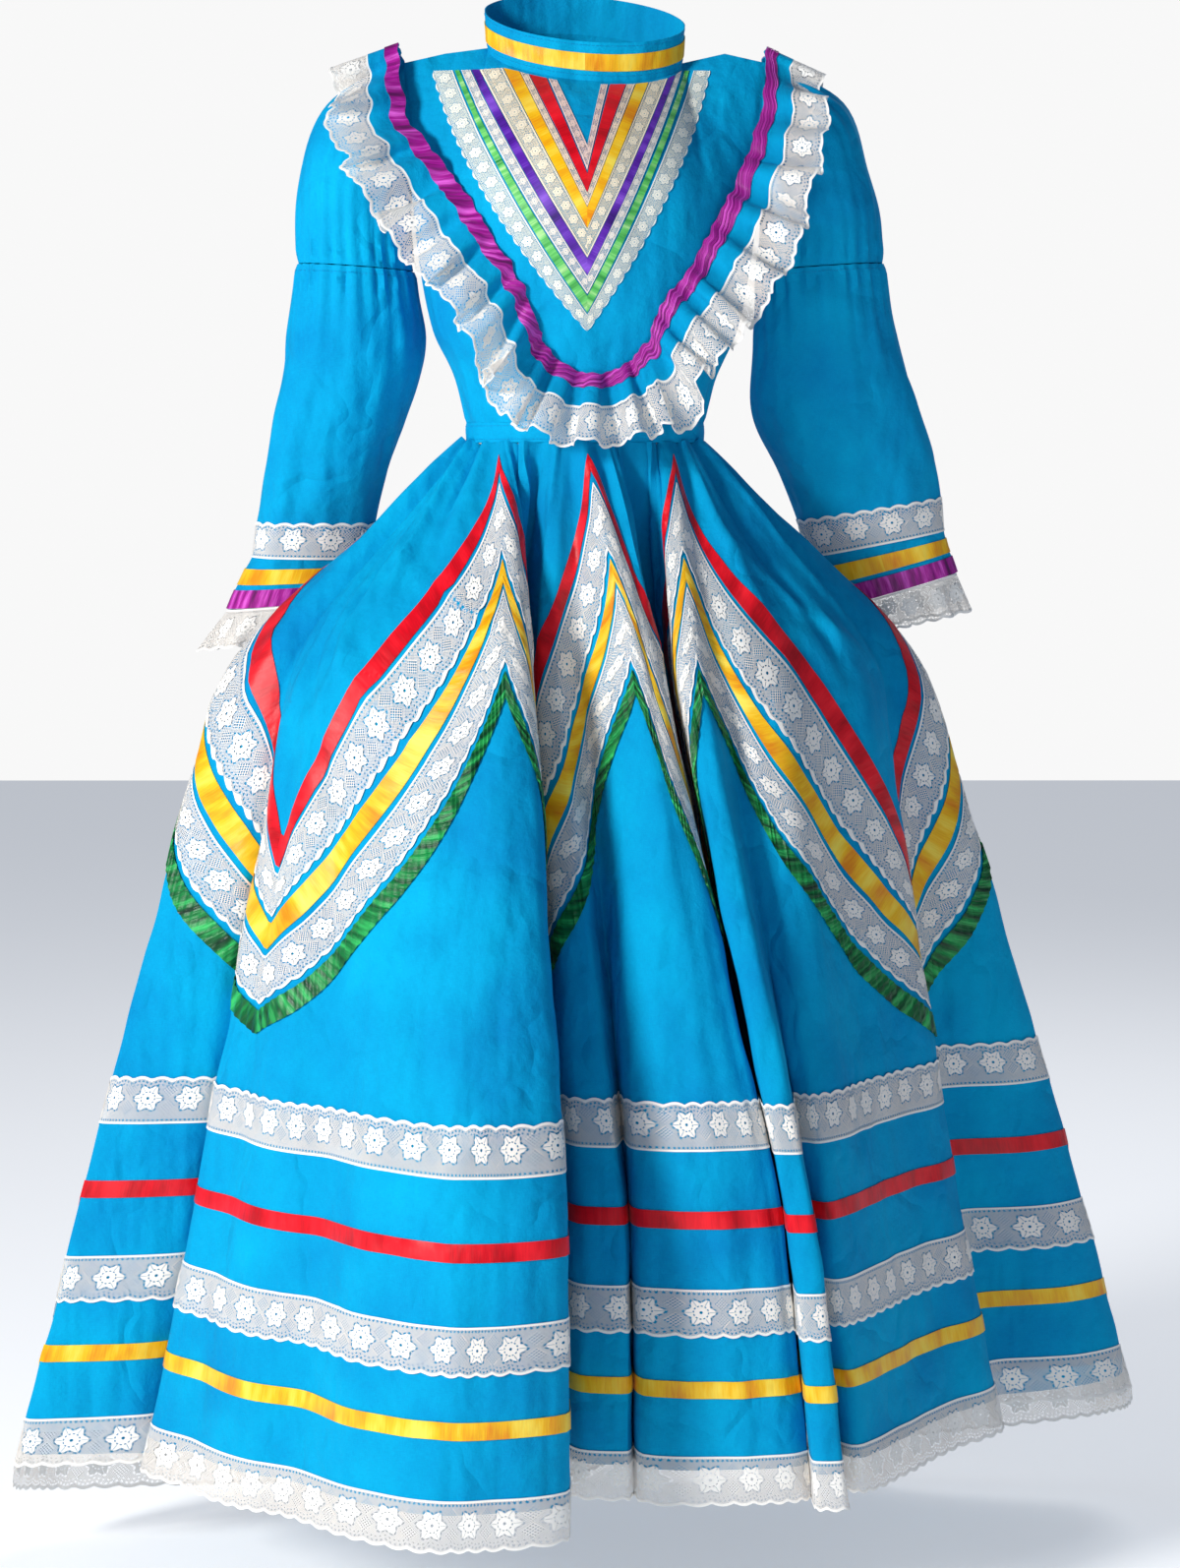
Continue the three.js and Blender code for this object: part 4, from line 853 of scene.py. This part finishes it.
def make_skirt_bands(points, normals, z, spans):
    for name, (first, last) in spans.items():
        free_rows = len(FREE_LACE_ROWS) if name == "hem_lace" else 0
        rows = slice(first, last + 1 + free_rows)
        lace, colour = "lace" in name, name.rsplit("_", 1)[1]
        width = LACE_WIDTH if lace else CHEVRON_RIBBON if "chevron" in name else LEVEL_RIBBON
        times = 3 if lace or colour == "green" else 1
        grid, facing = (finer_columns(part[rows], times, True) for part in (points, normals))
        heights = finer_columns(z[rows][..., None], times, True)[..., 0]
        shares = finer_columns(np.append(SHARES, 0.75)[None, :, None], times, False)[0, :, 0]
        ring = ZIGZAG_RING if "chevron" in name else LEVEL_RING
        middle = (heights[0] + heights[-1]) / 2
        length, *slopes = flat_places(np.diff(shares) * ring, np.diff(np.append(middle, middle[0])))
        edge = ("top" if name == "skirt_lace_upper" else "foot") if lace else "plain"
        share = lace_share(length[:-1], width, 7 if lace else len(grid) - 1, edge)
        row_share = (z[rows, 0] - z[first, 0]) / (z[rows, 0][-1] - z[first, 0])
        source = np.interp(share, row_share, np.linspace(0, 1, len(row_share)))
        place, out = between_rows(grid, source), unit(between_rows(facing, source))
        uv = band_uv(length, slopes, share, width)
        if lace:
            free = share if edge == "foot" else 1 - share
            lift = 0.6 * free * (1 + wander_over(shares[:-1] * 60, share * 2, 3.3))
            finish = LACE_TOP if edge == "top" else LACE_FOOT
            cloth_piece(name, place, out, LACE_LAYER, finish, "lace_white", uv, True, lift)
            continue
        lift = None
        if colour == "green":
            uneven = 2 * wander_over(shares[:-1] * 90, share, 0.5)
            lift = 0.7 + RUCHE_HEIGHT * np.sin(length[:-1] * TURN / RUCHE_STEP + uneven)
        cloth_piece(name, place, out, RIBBON_LAYER, *RIBBONS[colour], uv, True, lift)


make_skirt()

# Bodice, collar and waistband --------------------------------------------------------------


def ring_point(half_width, front, back, angle):
    depth = np.where(np.cos(angle) > 0, front, back)
    return half_width * np.sin(angle), -depth * np.cos(angle)


def neck_point(angle):
    x, y = ring_point(NECK_HALF_WIDTH, NECK_FRONT, NECK_BACK, angle)
    return np.stack([x, y, NECK_Z + NECK_FORWARD_SLOPE * y + NECK_SIDE_SLOPE * x], -1)


def bodice_top_edge(side, facing):
    """The neck, the shoulder and the armhole down to the armpit, from one side to the other."""
    across, hand = np.abs(side), np.where(side < 0, -1, 1)
    angle = np.minimum(across / NECK_SHARE, 1) * math.pi / 2 * hand
    neck = neck_point(angle if facing > 0 else math.pi - angle)
    ends = neck_point(math.pi / 2 * hand)
    edge = np.array(SHOULDER_EDGE)
    out = []
    for x_end, z_end, s, h in zip(np.abs(ends[:, 0]), ends[:, 2], across, hand):
        table = np.vstack([[NECK_SHARE, x_end, z_end, 0], edge])
        x, z, bow = (np.interp(s, table[:, 0], table[:, n]) for n in (1, 2, 3))
        out.append((h * x, -facing * bow, z))
    return np.where((across <= NECK_SHARE)[:, None], neck, np.array(out))


def bodice_grid(facing, columns=112):
    """facing is 1 for the front and -1 for the back."""
    side = facing * np.linspace(-1, 1, columns + 1)
    top = bodice_top_edge(side, facing)
    rings = np.array(TORSO_RINGS, float)

    def ring_row(z):
        half, front, back = (soft_curve(-rings[:, 0], rings[:, n], np.array([-z]))[0]
                             for n in (1, 2, 3))
        x = half * np.sin(side * math.pi / 2)
        y = -facing * (front if facing > 0 else back) * np.cos(side * math.pi / 2)
        return np.stack([x, y, np.full_like(x, z)], -1)

    bust = ring_row(BUST_Z)
    swell = CHEST_SWELL_FRONT if facing > 0 else CHEST_SWELL_BACK
    rows = []
    for part in np.linspace(0, 1, 25)[:-1]:
        row = mix(top, bust, part)
        row[:, 1] -= facing * swell * 4 * part * (1 - part) * np.cos(side * math.pi / 2)
        rows.append(row)
    rows += [ring_row(z) for z in np.linspace(BUST_Z, WAISTBAND_TOP_Z, 36)]
    points = np.array(rows)
    out = normals_of(points, False)
    z = points[..., 2]
    low = np.exp((WAISTBAND_TOP_Z - z) / 34)
    tucks = 2.2 * low * np.cos(side * 34 + 2 * wander_over(side * 5, 0.0, 2.2))
    rumple = (2.1 * wander_over(points[..., 0] / 34, z / 80, 5.0 + facing)
              + 0.6 * wander_over(points[..., 0] / 20, z / 24, 1.0))
    from_side = np.clip((1 - np.abs(side)) * 12, 0, 1)
    from_top = np.clip((np.arange(len(points)) / 4)[:, None], 0, 1)
    calm = from_side * from_top * np.clip((z - WAISTBAND_TOP_Z) / 6, 0, 1)
    points = points + out * ((tucks + rumple) * calm)[..., None]
    return points, normals_of(points, False)


front_points, front_normals = bodice_grid(1)
back_points, back_normals = bodice_grid(-1)
blue_piece("bodice_front", front_points, front_normals)
centre = back_points.shape[1] // 2
for name, columns, layer in (("bodice_back_right", slice(0, centre + 1), CLOTH_LAYER),
                             ("bodice_back_left", slice(centre, None), CLOTH_LAYER),
                             ("back_placket", slice(centre - 3, centre + 4), PLACKET_LAYER)):
    blue_piece(name, back_points[:, columns], back_normals[:, columns], layer=layer)

COLLAR_COLUMNS, WAISTBAND_COLUMNS = 120, 160
COLLAR_LEVELS = [34, 31, 27.5, 24, 20, 16.5, 13, 9, 5, -0.6]
COLLAR_FLARE = 0.03
SEAM_GAP = 0.3
collar_angle = TURN * np.arange(COLLAR_COLUMNS) / COLLAR_COLUMNS
collar_rows = []
for height in COLLAR_LEVELS:
    base = neck_point(collar_angle)
    flare = 1 + COLLAR_FLARE * height / COLLAR_HEIGHT
    wave = 0.7 * wander_round(collar_angle, 3, height / 18)
    collar_rows.append(np.stack([base[:, 0] * flare + wave * np.sin(collar_angle),
                                 base[:, 1] * flare - wave * np.cos(collar_angle),
                                 base[:, 2] + SEAM_GAP + height], -1))
collar = np.array(collar_rows)
collar_out = normals_of(collar, True)
blue_piece("collar", collar, collar_out, closed=True)
cloth_piece("collar_ribbon", collar[3:8], collar_out[3:8], RIBBON_LAYER, *RIBBONS["yellow"],
            grid_uv(collar[3:8], True), True)

waist_angle = TURN * np.arange(WAISTBAND_COLUMNS) / WAISTBAND_COLUMNS
waist_rows = []
for z in np.linspace(WAISTBAND_TOP_Z - SEAM_GAP, WAIST_Z + SEAM_GAP, 7):
    x, y = ring_point(WAIST_HALF_WIDTH, WAIST_FRONT, WAIST_BACK, waist_angle)
    swell = (0.8 * math.sin(math.pi * (WAISTBAND_TOP_Z - z) / (WAISTBAND_TOP_Z - WAIST_Z))
             + 0.5 * wander_round(waist_angle, 6, z / 9))
    waist_rows.append(np.stack([x + swell * np.sin(waist_angle), y - swell * np.cos(waist_angle),
                                np.full_like(x, z)], -1))
waistband = np.array(waist_rows)
waist_out = normals_of(waistband, True)
blue_piece("waistband", waistband, waist_out, closed=True)

# V yoke ------------------------------------------------------------------------------------

skin = front_points + front_normals * CLOTH_LAYER[1]
rows, columns = skin.shape[:2]
cells = [(r * columns + c, (r + 1) * columns + c, (r + 1) * columns + c + 1, r * columns + c + 1)
         for r in range(rows - 1) for c in range(columns - 1)]
CHEST = BVHTree.FromPolygons([tuple(p) for p in skin.reshape(-1, 3)], cells)


def chest_y(x, z):
    hit = CHEST.ray_cast(Vector((x, -500, z)), Vector((0, 1, 0)))
    return hit[0].y if hit[0] else None


def yoke_top(x):
    """The height at which an arm of the V starts, just under the neckline or the shoulder."""
    if abs(x) >= NECK_HALF_WIDTH:
        return YOKE_TOP_Z
    return min(YOKE_TOP_Z, neck_point(math.asin(x / NECK_HALF_WIDTH))[2] - YOKE_BELOW_NECK)


def yoke_line(edge, part):
    left, right, middle, tip = edge
    down = 1 - np.abs(2 * part - 1)
    top = np.where(part < 0.5, left, right)
    top_z = np.where(part < 0.5, yoke_top(left), yoke_top(right))
    x = mix(top, YOKE_TIP_X, down) + (middle - 0.5) * 4 * down * (1 - down) * (top - YOKE_TIP_X)
    return np.stack([x, mix(top_z, tip, down)], -1)


def make_yoke():
    part = np.linspace(0, 1, 241)
    for name, inner, outer in YOKE_BANDS:
        lace, colour = "lace" in name, name.rsplit("_", 1)[1]
        line_in, line_out = yoke_line(inner, part), yoke_line(outer, part)
        middle = (line_in + line_out) / 2
        step = np.diff(middle, axis=0)
        run = step / np.linalg.norm(step, axis=1, keepdims=True)
        length = np.concatenate([[0], np.cumsum(np.linalg.norm(step, axis=1))])
        after, before = np.vstack([run, run[-1:]]), np.vstack([run[:1], run])
        across = line_out - line_in
        width = float(np.median(np.abs(across[:, 0] * after[:, 1] - across[:, 1] * after[:, 0])))
        rows = max(3, int(math.ceil(width / 4)))
        share = np.linspace(0, 1, rows + 1)[:, None]
        if name == "yoke_lace_outer":
            share = share * (1 - scallop(length, YOKE_SCALLOP, YOKE_SCALLOP_DEPTH)[None] / width)
        share = np.broadcast_to(share, (rows + 1, len(part)))
        place = line_in[None] + across[None] * share[..., None]
        points = np.array([[(x, chest_y(x, z), z) for x, z in row] for row in place], float)
        uv = []
        for direction in (after, before):
            slip = np.sum(across * direction, axis=1)
            uv.append(np.stack([length + (share - 0.5) * slip, share * width], -1) * METRES)
        facing = normals_of(points, False)
        facing *= np.sign(-facing[..., 1:2])
        if lace:
            layer, finish, slot = YOKE_LACE_LAYER, YOKE_LACE[name], "lace_white"
        else:
            layer, (finish, slot) = YOKE_RIBBON_LAYER, RIBBONS[colour]
        if colour == "green":
            finish = LIGHT_GREEN
        cloth_piece(name, points, facing, layer, finish, slot, uv)


make_yoke()

# Shoulder ruffle ---------------------------------------------------------------------------


def through_stations(stations, at):
    """Closed centripetal Catmull-Rom line through the stations."""
    stations = np.asarray(stations, float)
    count = len(stations)
    place = (at % 1) * count
    n = place.astype(int) % count
    t = (place - np.floor(place))[:, None]
    p0, p1, p2, p3 = (stations[(n + k) % count] for k in (-1, 0, 1, 2))
    d0, d1, d2 = (np.linalg.norm(b - a, axis=1, keepdims=True) ** 0.5
                  for a, b in ((p0, p1), (p1, p2), (p2, p3)))
    t1 = ((p1 - p0) / d0 - (p2 - p0) / (d0 + d1) + (p2 - p1) / d1) * d1
    t2 = ((p2 - p1) / d1 - (p3 - p1) / (d1 + d2) + (p3 - p2) / d2) * d1
    a = 2 * p1 - 2 * p2 + t1 + t2
    b = -3 * p1 + 3 * p2 - 2 * t1 - t2
    return p1 + t1 * t + b * t**2 + a * t**3


UP = np.array([0, 0, 1])
RUFFLE_POINTS_A_WAVE = 24


def ruffle_rows(shares):
    stations = np.array(RUFFLE_FRONT + RUFFLE_BACK, float)
    front_share = (len(RUFFLE_FRONT) - 1) / len(stations)
    at, phase = [], []
    for waves, start, end in ((RUFFLE_WAVES_FRONT, 0, front_share),
                              (RUFFLE_WAVES_BACK, front_share, 1)):
        turns = np.arange(waves * RUFFLE_POINTS_A_WAVE) / RUFFLE_POINTS_A_WAVE
        at.append(mix(start, end, turns / waves))
        phase.append(TURN * turns)
    at, phase = np.concatenate(at), np.concatenate(phase)
    around = TURN * at
    phase = phase + 1.5 * wander_round(around, 6, 0.9)
    gather, edge = through_stations(stations[:, :3], at), through_stations(stations[:, 3:], at)
    for n, (x, y, z) in enumerate(gather):
        chest = chest_y(x, z) if y < 0 else None
        if chest is not None:
            gather[n, 1] = min(y, chest - RUFFLE_SEAT)
    along = np.roll(gather, -1, axis=0) - np.roll(gather, 1, axis=0)
    along /= np.linalg.norm(along, axis=1, keepdims=True)
    lift = np.cross(edge - gather, along)
    lift /= np.linalg.norm(lift, axis=1, keepdims=True)
    uneven = 1.1 + 0.75 * wander_round(around, 9, 2.5)
    lean = 0.5 + 0.5 * wander_round(around, 5, 7.5)
    outward = unit((edge - gather)[None])[0]
    jog = 3.2 * wander_round(around, 24, 12.5)
    rows = []
    for share in shares:
        height = mix(RUFFLE_AMPLITUDE_GATHER, RUFFLE_AMPLITUDE_EDGE, share) * uneven
        sway = mix(0.4, 5.5, share) * lean * np.sin(2 * phase)
        fall = 3.4 * share * wander_round(around, 14, 9.5)
        for place, spread, slide, rise in RUFFLE_TURNS:
            off = (at - place) / spread
            near = share ** 1.5 * np.exp(-(off * 1.1) ** 2)
            sway = sway - slide * near * np.sin(math.pi * off)
            height = height + rise * near * np.cos(math.pi * off)
        moved = lift * (height * np.cos(phase))[:, None] + along * sway[:, None]
        rows.append(mix(gather, edge, share) + moved + outward * jog[:, None] + UP * fall[:, None])
    return np.array(rows)


def lace_strip(name, points, normals, length, width, edge, rows, layer, finish):
    """A ring of lace over a grid, with a whole number of flowers along it."""
    along = length * round(length[-1] / REPEAT) * REPEAT / length[-1]
    share = lace_share(along[:-1], width, rows, edge)
    place, facing = between_rows(points, share), unit(between_rows(normals, share))
    level = np.zeros_like(along)
    cloth_piece(name, place, facing, layer, finish, "lace_white",
                band_uv(along, (level, level), share, width), True)


def make_ruffle():
    shares = np.concatenate([np.linspace(0, RUFFLE_RIBBON_SHARE, 4),
                             np.linspace(RUFFLE_RIBBON_SHARE, RUFFLE_LACE_SHARE, 5)[1:],
                             np.linspace(RUFFLE_LACE_SHARE, 1, 9)[1:]])
    points = ruffle_rows(shares)
    out = normals_of(points, True)
    length = running_length(points, True)
    flat = np.concatenate([[0], np.cumsum(np.diff(shares))]) * RUFFLE_WIDTH
    cloth, ribbon, lace = slice(0, 8), slice(0, 4), slice(7, None)
    cloth_uv, ribbon_uv = (same_uv(length[rows] * METRES, flat[rows][:, None] * METRES)
                           for rows in (cloth, ribbon))
    blue_piece("ruffle", points[cloth], out[cloth], cloth_uv, True, RUFFLE_LAYER)
    lace_strip("ruffle_lace", points[lace], out[lace], length[-1], LACE_WIDTH, "foot", 8,
               LOOSE_LACE_LAYER, LACE_FOOT)
    cloth_piece("ruffle_ribbon", points[ribbon], out[ribbon], RUFFLE_RIBBON_LAYER,
                *RIBBONS["magenta"], ribbon_uv, True)


make_ruffle()

# Sleeves -----------------------------------------------------------------------------------


def section_ring(section, angle, swell):
    x, y, z, tilt, half_width, half_depth = section
    hand = np.sign(x)
    tilt = math.radians(tilt)
    across = (half_width + swell) * np.sin(angle)
    return np.stack([x + math.cos(tilt) * across, y - (half_depth + swell) * np.cos(angle),
                     z + math.sin(tilt) * hand * across], -1)


def sleeve_rows(sections, steps):
    """Rings that run softly through the sections, with a whole number of steps between them."""
    table = np.array(sections, float)
    knots = np.concatenate([[0], np.cumsum(np.linalg.norm(np.diff(table[:, :3], axis=0), axis=1))])
    parts = [np.linspace(a, b, n, endpoint=False) for a, b, n in zip(knots, knots[1:], steps)]
    places = np.concatenate(parts + [knots[-1:]])
    return np.stack([soft_curve(knots, table[:, n], places) for n in range(6)], -1), places


SLEEVE_COLUMNS, FRILL_COLUMNS = 96, 360
SLEEVE_SEEDS = {"left": 3.0, "right": 11.0}
UPPER_GATHERS, LOWER_GATHERS = 22, 24
FRILL_DROP = 1.2
# Rows from each section to the next, and the spans of the sleeve that the trims cover
PUFF_STEPS = [8, 8, 8, 8]
SLEEVE_STEPS = [14, 12, 10, 10, 8, 2, 3, 2, 3]
LACE_SPAN, RIBBON_SPANS = 4, {"yellow": 6, "magenta": 8}
SLEEVE_LINES = {}


def round_line(points, out, row, stand_off=1.15):
    """One row of a closed grid as a closed line, a little off the surface."""
    line = points[row] + out[row] * stand_off
    return np.vstack([line, line[:1]])


def make_sleeve(hand):
    seed = SLEEVE_SEEDS[hand]
    angle = TURN * np.arange(SLEEVE_COLUMNS) / SLEEVE_COLUMNS
    uneven = 2.2 * wander_round(angle, 2.2, seed)
    make_puff(hand, angle, uneven, seed)
    turn_x, turn_y = np.cos(angle), np.sin(angle)
    rows, places = sleeve_rows(SLEEVES[hand]["sleeve"], SLEEVE_STEPS)
    lower = []
    for row, place in zip(rows, places):
        left = places[-1] - place
        gathers = np.exp(-place / 42) * np.cos(LOWER_GATHERS * angle - uneven)
        deep = wander_round(angle, 1.9, seed + 5 + place / 170)
        fine = wander_over(turn_x * 3.4 + place / 90, turn_y * 3.4, seed + 8 + place / 60)
        fall = min(1, place / 60) * min(1, max(0, left) / 130 + 0.12)
        swell = 3.2 * gathers * min(1, 0.3 + place / 10) + fall * (4.2 * deep + 2.6 * fine)
        lower.append(section_ring(row, angle, swell))
    lower = np.array(lower)
    out = normals_of(lower, True)
    blue_piece(f"sleeve_{hand}", lower, out, closed=True)
    ends = np.concatenate([[0], np.cumsum(SLEEVE_STEPS)])
    SLEEVE_LINES[hand] = [round_line(lower, out, row, 1.2) for row in (1, ends[LACE_SPAN + 1])]
    span = slice(ends[LACE_SPAN], ends[LACE_SPAN + 1] + 1)
    grid, facing = finer_columns(lower[span], 2, True), unit(finer_columns(out[span], 2, True))
    lace_strip(f"cuff_lace_{hand}", grid, facing, running_length(grid, True)[0],
               CUFF_LACE_WIDTH, "top", 6, LACE_LAYER, LACE_CUFF)
    for colour, first in RIBBON_SPANS.items():
        span = slice(ends[first], ends[first + 1] + 1)
        cloth_piece(f"cuff_ribbon_{colour}_{hand}", lower[span], out[span], RIBBON_LAYER,
                    *RIBBONS[colour], grid_uv(lower[span], True), True)
    make_frill(hand, seed)


def make_puff(hand, angle, uneven, seed):
    rows, places = sleeve_rows(SLEEVES[hand]["puff"], PUFF_STEPS)
    size = 3.2 + 2.0 * wander_round(angle, 4, seed + 1)
    puff = []
    for row, place in zip(rows, places):
        left = places[-1] - place
        start, end = np.exp(-place / 34), np.exp(-left / 30)
        swell = size * (start * np.cos(UPPER_GATHERS * angle + uneven)
                        + end * np.cos(LOWER_GATHERS * angle - uneven))
        swell = swell * min(1, 0.25 + place / 20) * min(1, 0.2 + left / 12)
        billow = 2.4 * wander_round(angle, 1.6, seed + place / 40)
        puff.append(section_ring(row, angle, swell + billow * min(1, place / 20, left / 20)))
    puff = np.array(puff)
    blue_piece(f"sleeve_puff_{hand}", puff, normals_of(puff, True), closed=True)


def make_frill(hand, seed):
    angle = TURN * np.arange(FRILL_COLUMNS) / FRILL_COLUMNS
    start = list(SLEEVES[hand]["sleeve"][-1])
    start[2] -= FRILL_DROP
    uneven = 1 + 0.3 * wander_round(angle, 3, seed + 20)
    rows = []
    for share in np.linspace(0, 1, 9):
        section = [mix(a, b, share) for a, b in zip(start, SLEEVES[hand]["frill"])]
        swell = FRILL_AMPLITUDE * share * uneven * np.cos(FRILL_WAVES * angle)
        sway = 0.035 * share * np.sin(2 * FRILL_WAVES * angle)
        rows.append(section_ring(section, angle + sway, swell))
    points = np.array(rows)
    lace_strip(f"cuff_frill_{hand}", points, normals_of(points, True),
               running_length(points, True)[-1], LACE_WIDTH, "foot", 8, LOOSE_LACE_LAYER, LACE_FOOT)


make_sleeve("left")
make_sleeve("right")

# Stitches ----------------------------------------------------------------------------------


def stitch_tree():
    """Geometry Nodes: short threads set one after another along a line."""
    tree = bpy.data.node_groups.new("stitch_row", "GeometryNodeTree")

    def socket(name, way, kind, value=None):
        made = tree.interface.new_socket(name, in_out=way, socket_type=kind)
        if value is not None:
            made.default_value = value

    def node(kind, **settings):
        made = tree.nodes.new(kind)
        for key, value in settings.items():
            setattr(made, key, value)
        return made

    socket("Line", "INPUT", "NodeSocketGeometry")
    socket("Spacing", "INPUT", "NodeSocketFloat", 0.0036)
    socket("Stitch Length", "INPUT", "NodeSocketFloat", 0.0025)
    socket("Thread Radius", "INPUT", "NodeSocketFloat", 0.0003)
    socket("Thread", "INPUT", "NodeSocketMaterial")
    socket("Stitches", "OUTPUT", "NodeSocketGeometry")
    start, end = node("NodeGroupInput"), node("NodeGroupOutput")
    line = node("GeometryNodeMeshToCurve")
    points = node("GeometryNodeCurveToPoints", mode="LENGTH")
    thread = node("GeometryNodeMeshCylinder")
    thread.inputs["Vertices"].default_value = 5
    place = node("GeometryNodeInstanceOnPoints")
    uneven = node("FunctionNodeRandomValue", data_type="FLOAT")
    uneven.inputs["Min"].default_value, uneven.inputs["Max"].default_value = 0.85, 1.1
    uneven.inputs["Seed"].default_value = 7
    real, finish = node("GeometryNodeRealizeInstances"), node("GeometryNodeSetMaterial")
    for a, b in (
        (start.outputs["Line"], line.inputs[0]), (line.outputs[0], points.inputs["Curve"]),
        (start.outputs["Spacing"], points.inputs["Length"]),
        (start.outputs["Stitch Length"], thread.inputs["Depth"]),
        (start.outputs["Thread Radius"], thread.inputs["Radius"]),
        (points.outputs["Points"], place.inputs["Points"]),
        (thread.outputs["Mesh"], place.inputs["Instance"]),
        (points.outputs["Rotation"], place.inputs["Rotation"]),
        (uneven.outputs["Value"], place.inputs["Scale"]),
        (place.outputs[0], real.inputs[0]), (real.outputs[0], finish.inputs["Geometry"]),
        (start.outputs["Thread"], finish.inputs["Material"]), (finish.outputs[0], end.inputs[0]),
    ):
        tree.links.new(a, b)
    return tree


STITCHES = stitch_tree()
# The darker thread colour is painted shade in the twist.
THREAD = thread_finish("thread_turquoise", linear(0, 120, 176), linear(10, 158, 212))


def sew(name, lines):
    """Rows of stitches along lines of points; a line is closed if its first point comes again."""
    verts = [tuple(float(v) * METRES for v in point) for line in lines for point in line]
    edges, first = [], 0
    for line in lines:
        edges += [(first + n, first + n + 1) for n in range(len(line) - 1)]
        first += len(line)
    mesh = bpy.data.meshes.new(name + "_line")
    mesh.from_pydata(verts, edges, [])
    holder = bpy.data.objects.new(name + "_line", mesh)
    bpy.context.scene.collection.objects.link(holder)
    rows_of = holder.modifiers.new("stitches", "NODES")
    rows_of.node_group = STITCHES
    inputs = {item.name: item.identifier for item in STITCHES.interface.items_tree
              if item.in_out == "INPUT"}
    rows_of[inputs["Thread"]] = THREAD
    graph = bpy.context.evaluated_depsgraph_get()
    made = bpy.data.meshes.new_from_object(holder.evaluated_get(graph), depsgraph=graph)
    holder.modifiers.remove(rows_of)
    bpy.data.objects.remove(holder)
    made.name = name
    piece = bpy.data.objects.new(name, made)
    bpy.context.scene.collection.objects.link(piece)
    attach(piece, "root")


sew("stitches_waistband", [round_line(waistband, waist_out, row) for row in (1, 5)])
sew("stitches_collar", [round_line(collar, collar_out, row) for row in (1, 8)])
placket_skin = back_points + back_normals * (PLACKET_LAYER[1] + 0.05)
sew("stitches_placket", [placket_skin[2:-2, centre + side] for side in (-2, 2)])
for hand, (seam, hem) in SLEEVE_LINES.items():
    sew(f"stitches_sleeve_{hand}", [seam, hem])

# Camera, light and floor -------------------------------------------------------------------


def look_at(thing, target):
    thing.rotation_euler = (Vector(target) - thing.location).to_track_quat("-Z", "Y").to_euler()


def add_light(name, place, target, size, energy, colour=(1, 1, 1)):
    light = bpy.data.lights.new(name, "AREA")
    light.shape, light.size, light.energy, light.color = "DISK", size, energy, colour
    lamp = bpy.data.objects.new(name, light)
    bpy.context.scene.collection.objects.link(lamp)
    lamp.location = place
    look_at(lamp, target)


CAMERA_DISTANCE, CAMERA_Z, CAMERA_TILT, AIM_X = 3.2, -0.375, 5.11, 0.0045
SENSOR_HEIGHT = 36
HALF_PICTURE, FOCAL_LENGTH = 797, 3585       # in pixels of the photo
camera = bpy.data.objects.new("camera", bpy.data.cameras.new("camera"))
bpy.context.scene.collection.objects.link(camera)
camera.location = (0, -CAMERA_DISTANCE, CAMERA_Z)
camera.data.sensor_fit = "VERTICAL"
camera.data.sensor_height = SENSOR_HEIGHT
camera.data.lens = SENSOR_HEIGHT / 2 / (HALF_PICTURE / FOCAL_LENGTH)
look_at(camera, (AIM_X, 0, CAMERA_Z - CAMERA_DISTANCE * math.tan(math.radians(CAMERA_TILT))))
bpy.context.scene.camera = camera

add_light("key", (-2.7, -2.5, 0.6), (0, 0, -0.65), 0.9, 150, (1.0, 0.99, 0.96))
add_light("fill", (1.6, -3.0, 0.3), (0, 0, -0.7), 2.2, 8, (0.6, 0.82, 1.0))
add_light("back", (1.2, 2.2, 1.6), (0, 0, -0.5), 1.6, 30)

WHITE, AMBIENT, BACKGROUND = (1, 1, 1, 1), (0.08, 0.115, 0.18, 1), (0.94, 0.94, 0.94, 1)
world = bpy.data.worlds.new("studio")
world.use_nodes = True
studio = world.node_tree
seen = studio.nodes.new("ShaderNodeLightPath").outputs["Is Camera Ray"]
glow = studio.nodes.new("ShaderNodeMix")
glow.data_type = "RGBA"
glow.inputs[6].default_value, glow.inputs[7].default_value = AMBIENT, BACKGROUND
studio.links.new(seen, glow.inputs[0])
studio.links.new(glow.outputs[2], studio.nodes["Background"].inputs["Color"])
bpy.context.scene.world = world
bpy.context.scene.view_settings.view_transform = "Standard"

floor_mesh = bpy.data.meshes.new("floor")
FLOOR_Z = CAD_BOX[0][2] - 0.004
corners = [(x, y, FLOOR_Z) for x, y in ((-6, -6), (6, -6), (6, 8), (-6, 8))]
floor_mesh.from_pydata(corners, [], [(0, 1, 2, 3)])
floor = bpy.data.objects.new("floor", floor_mesh)
bpy.context.scene.collection.objects.link(floor)
paper = Finish("pale_paper", **{"Base Color": (0.85, 0.85, 0.85, 1), "Roughness": 0.9,
                                "Emission Color": WHITE, "Emission Strength": 0.42})
floor_mesh.materials.append(paper.material)
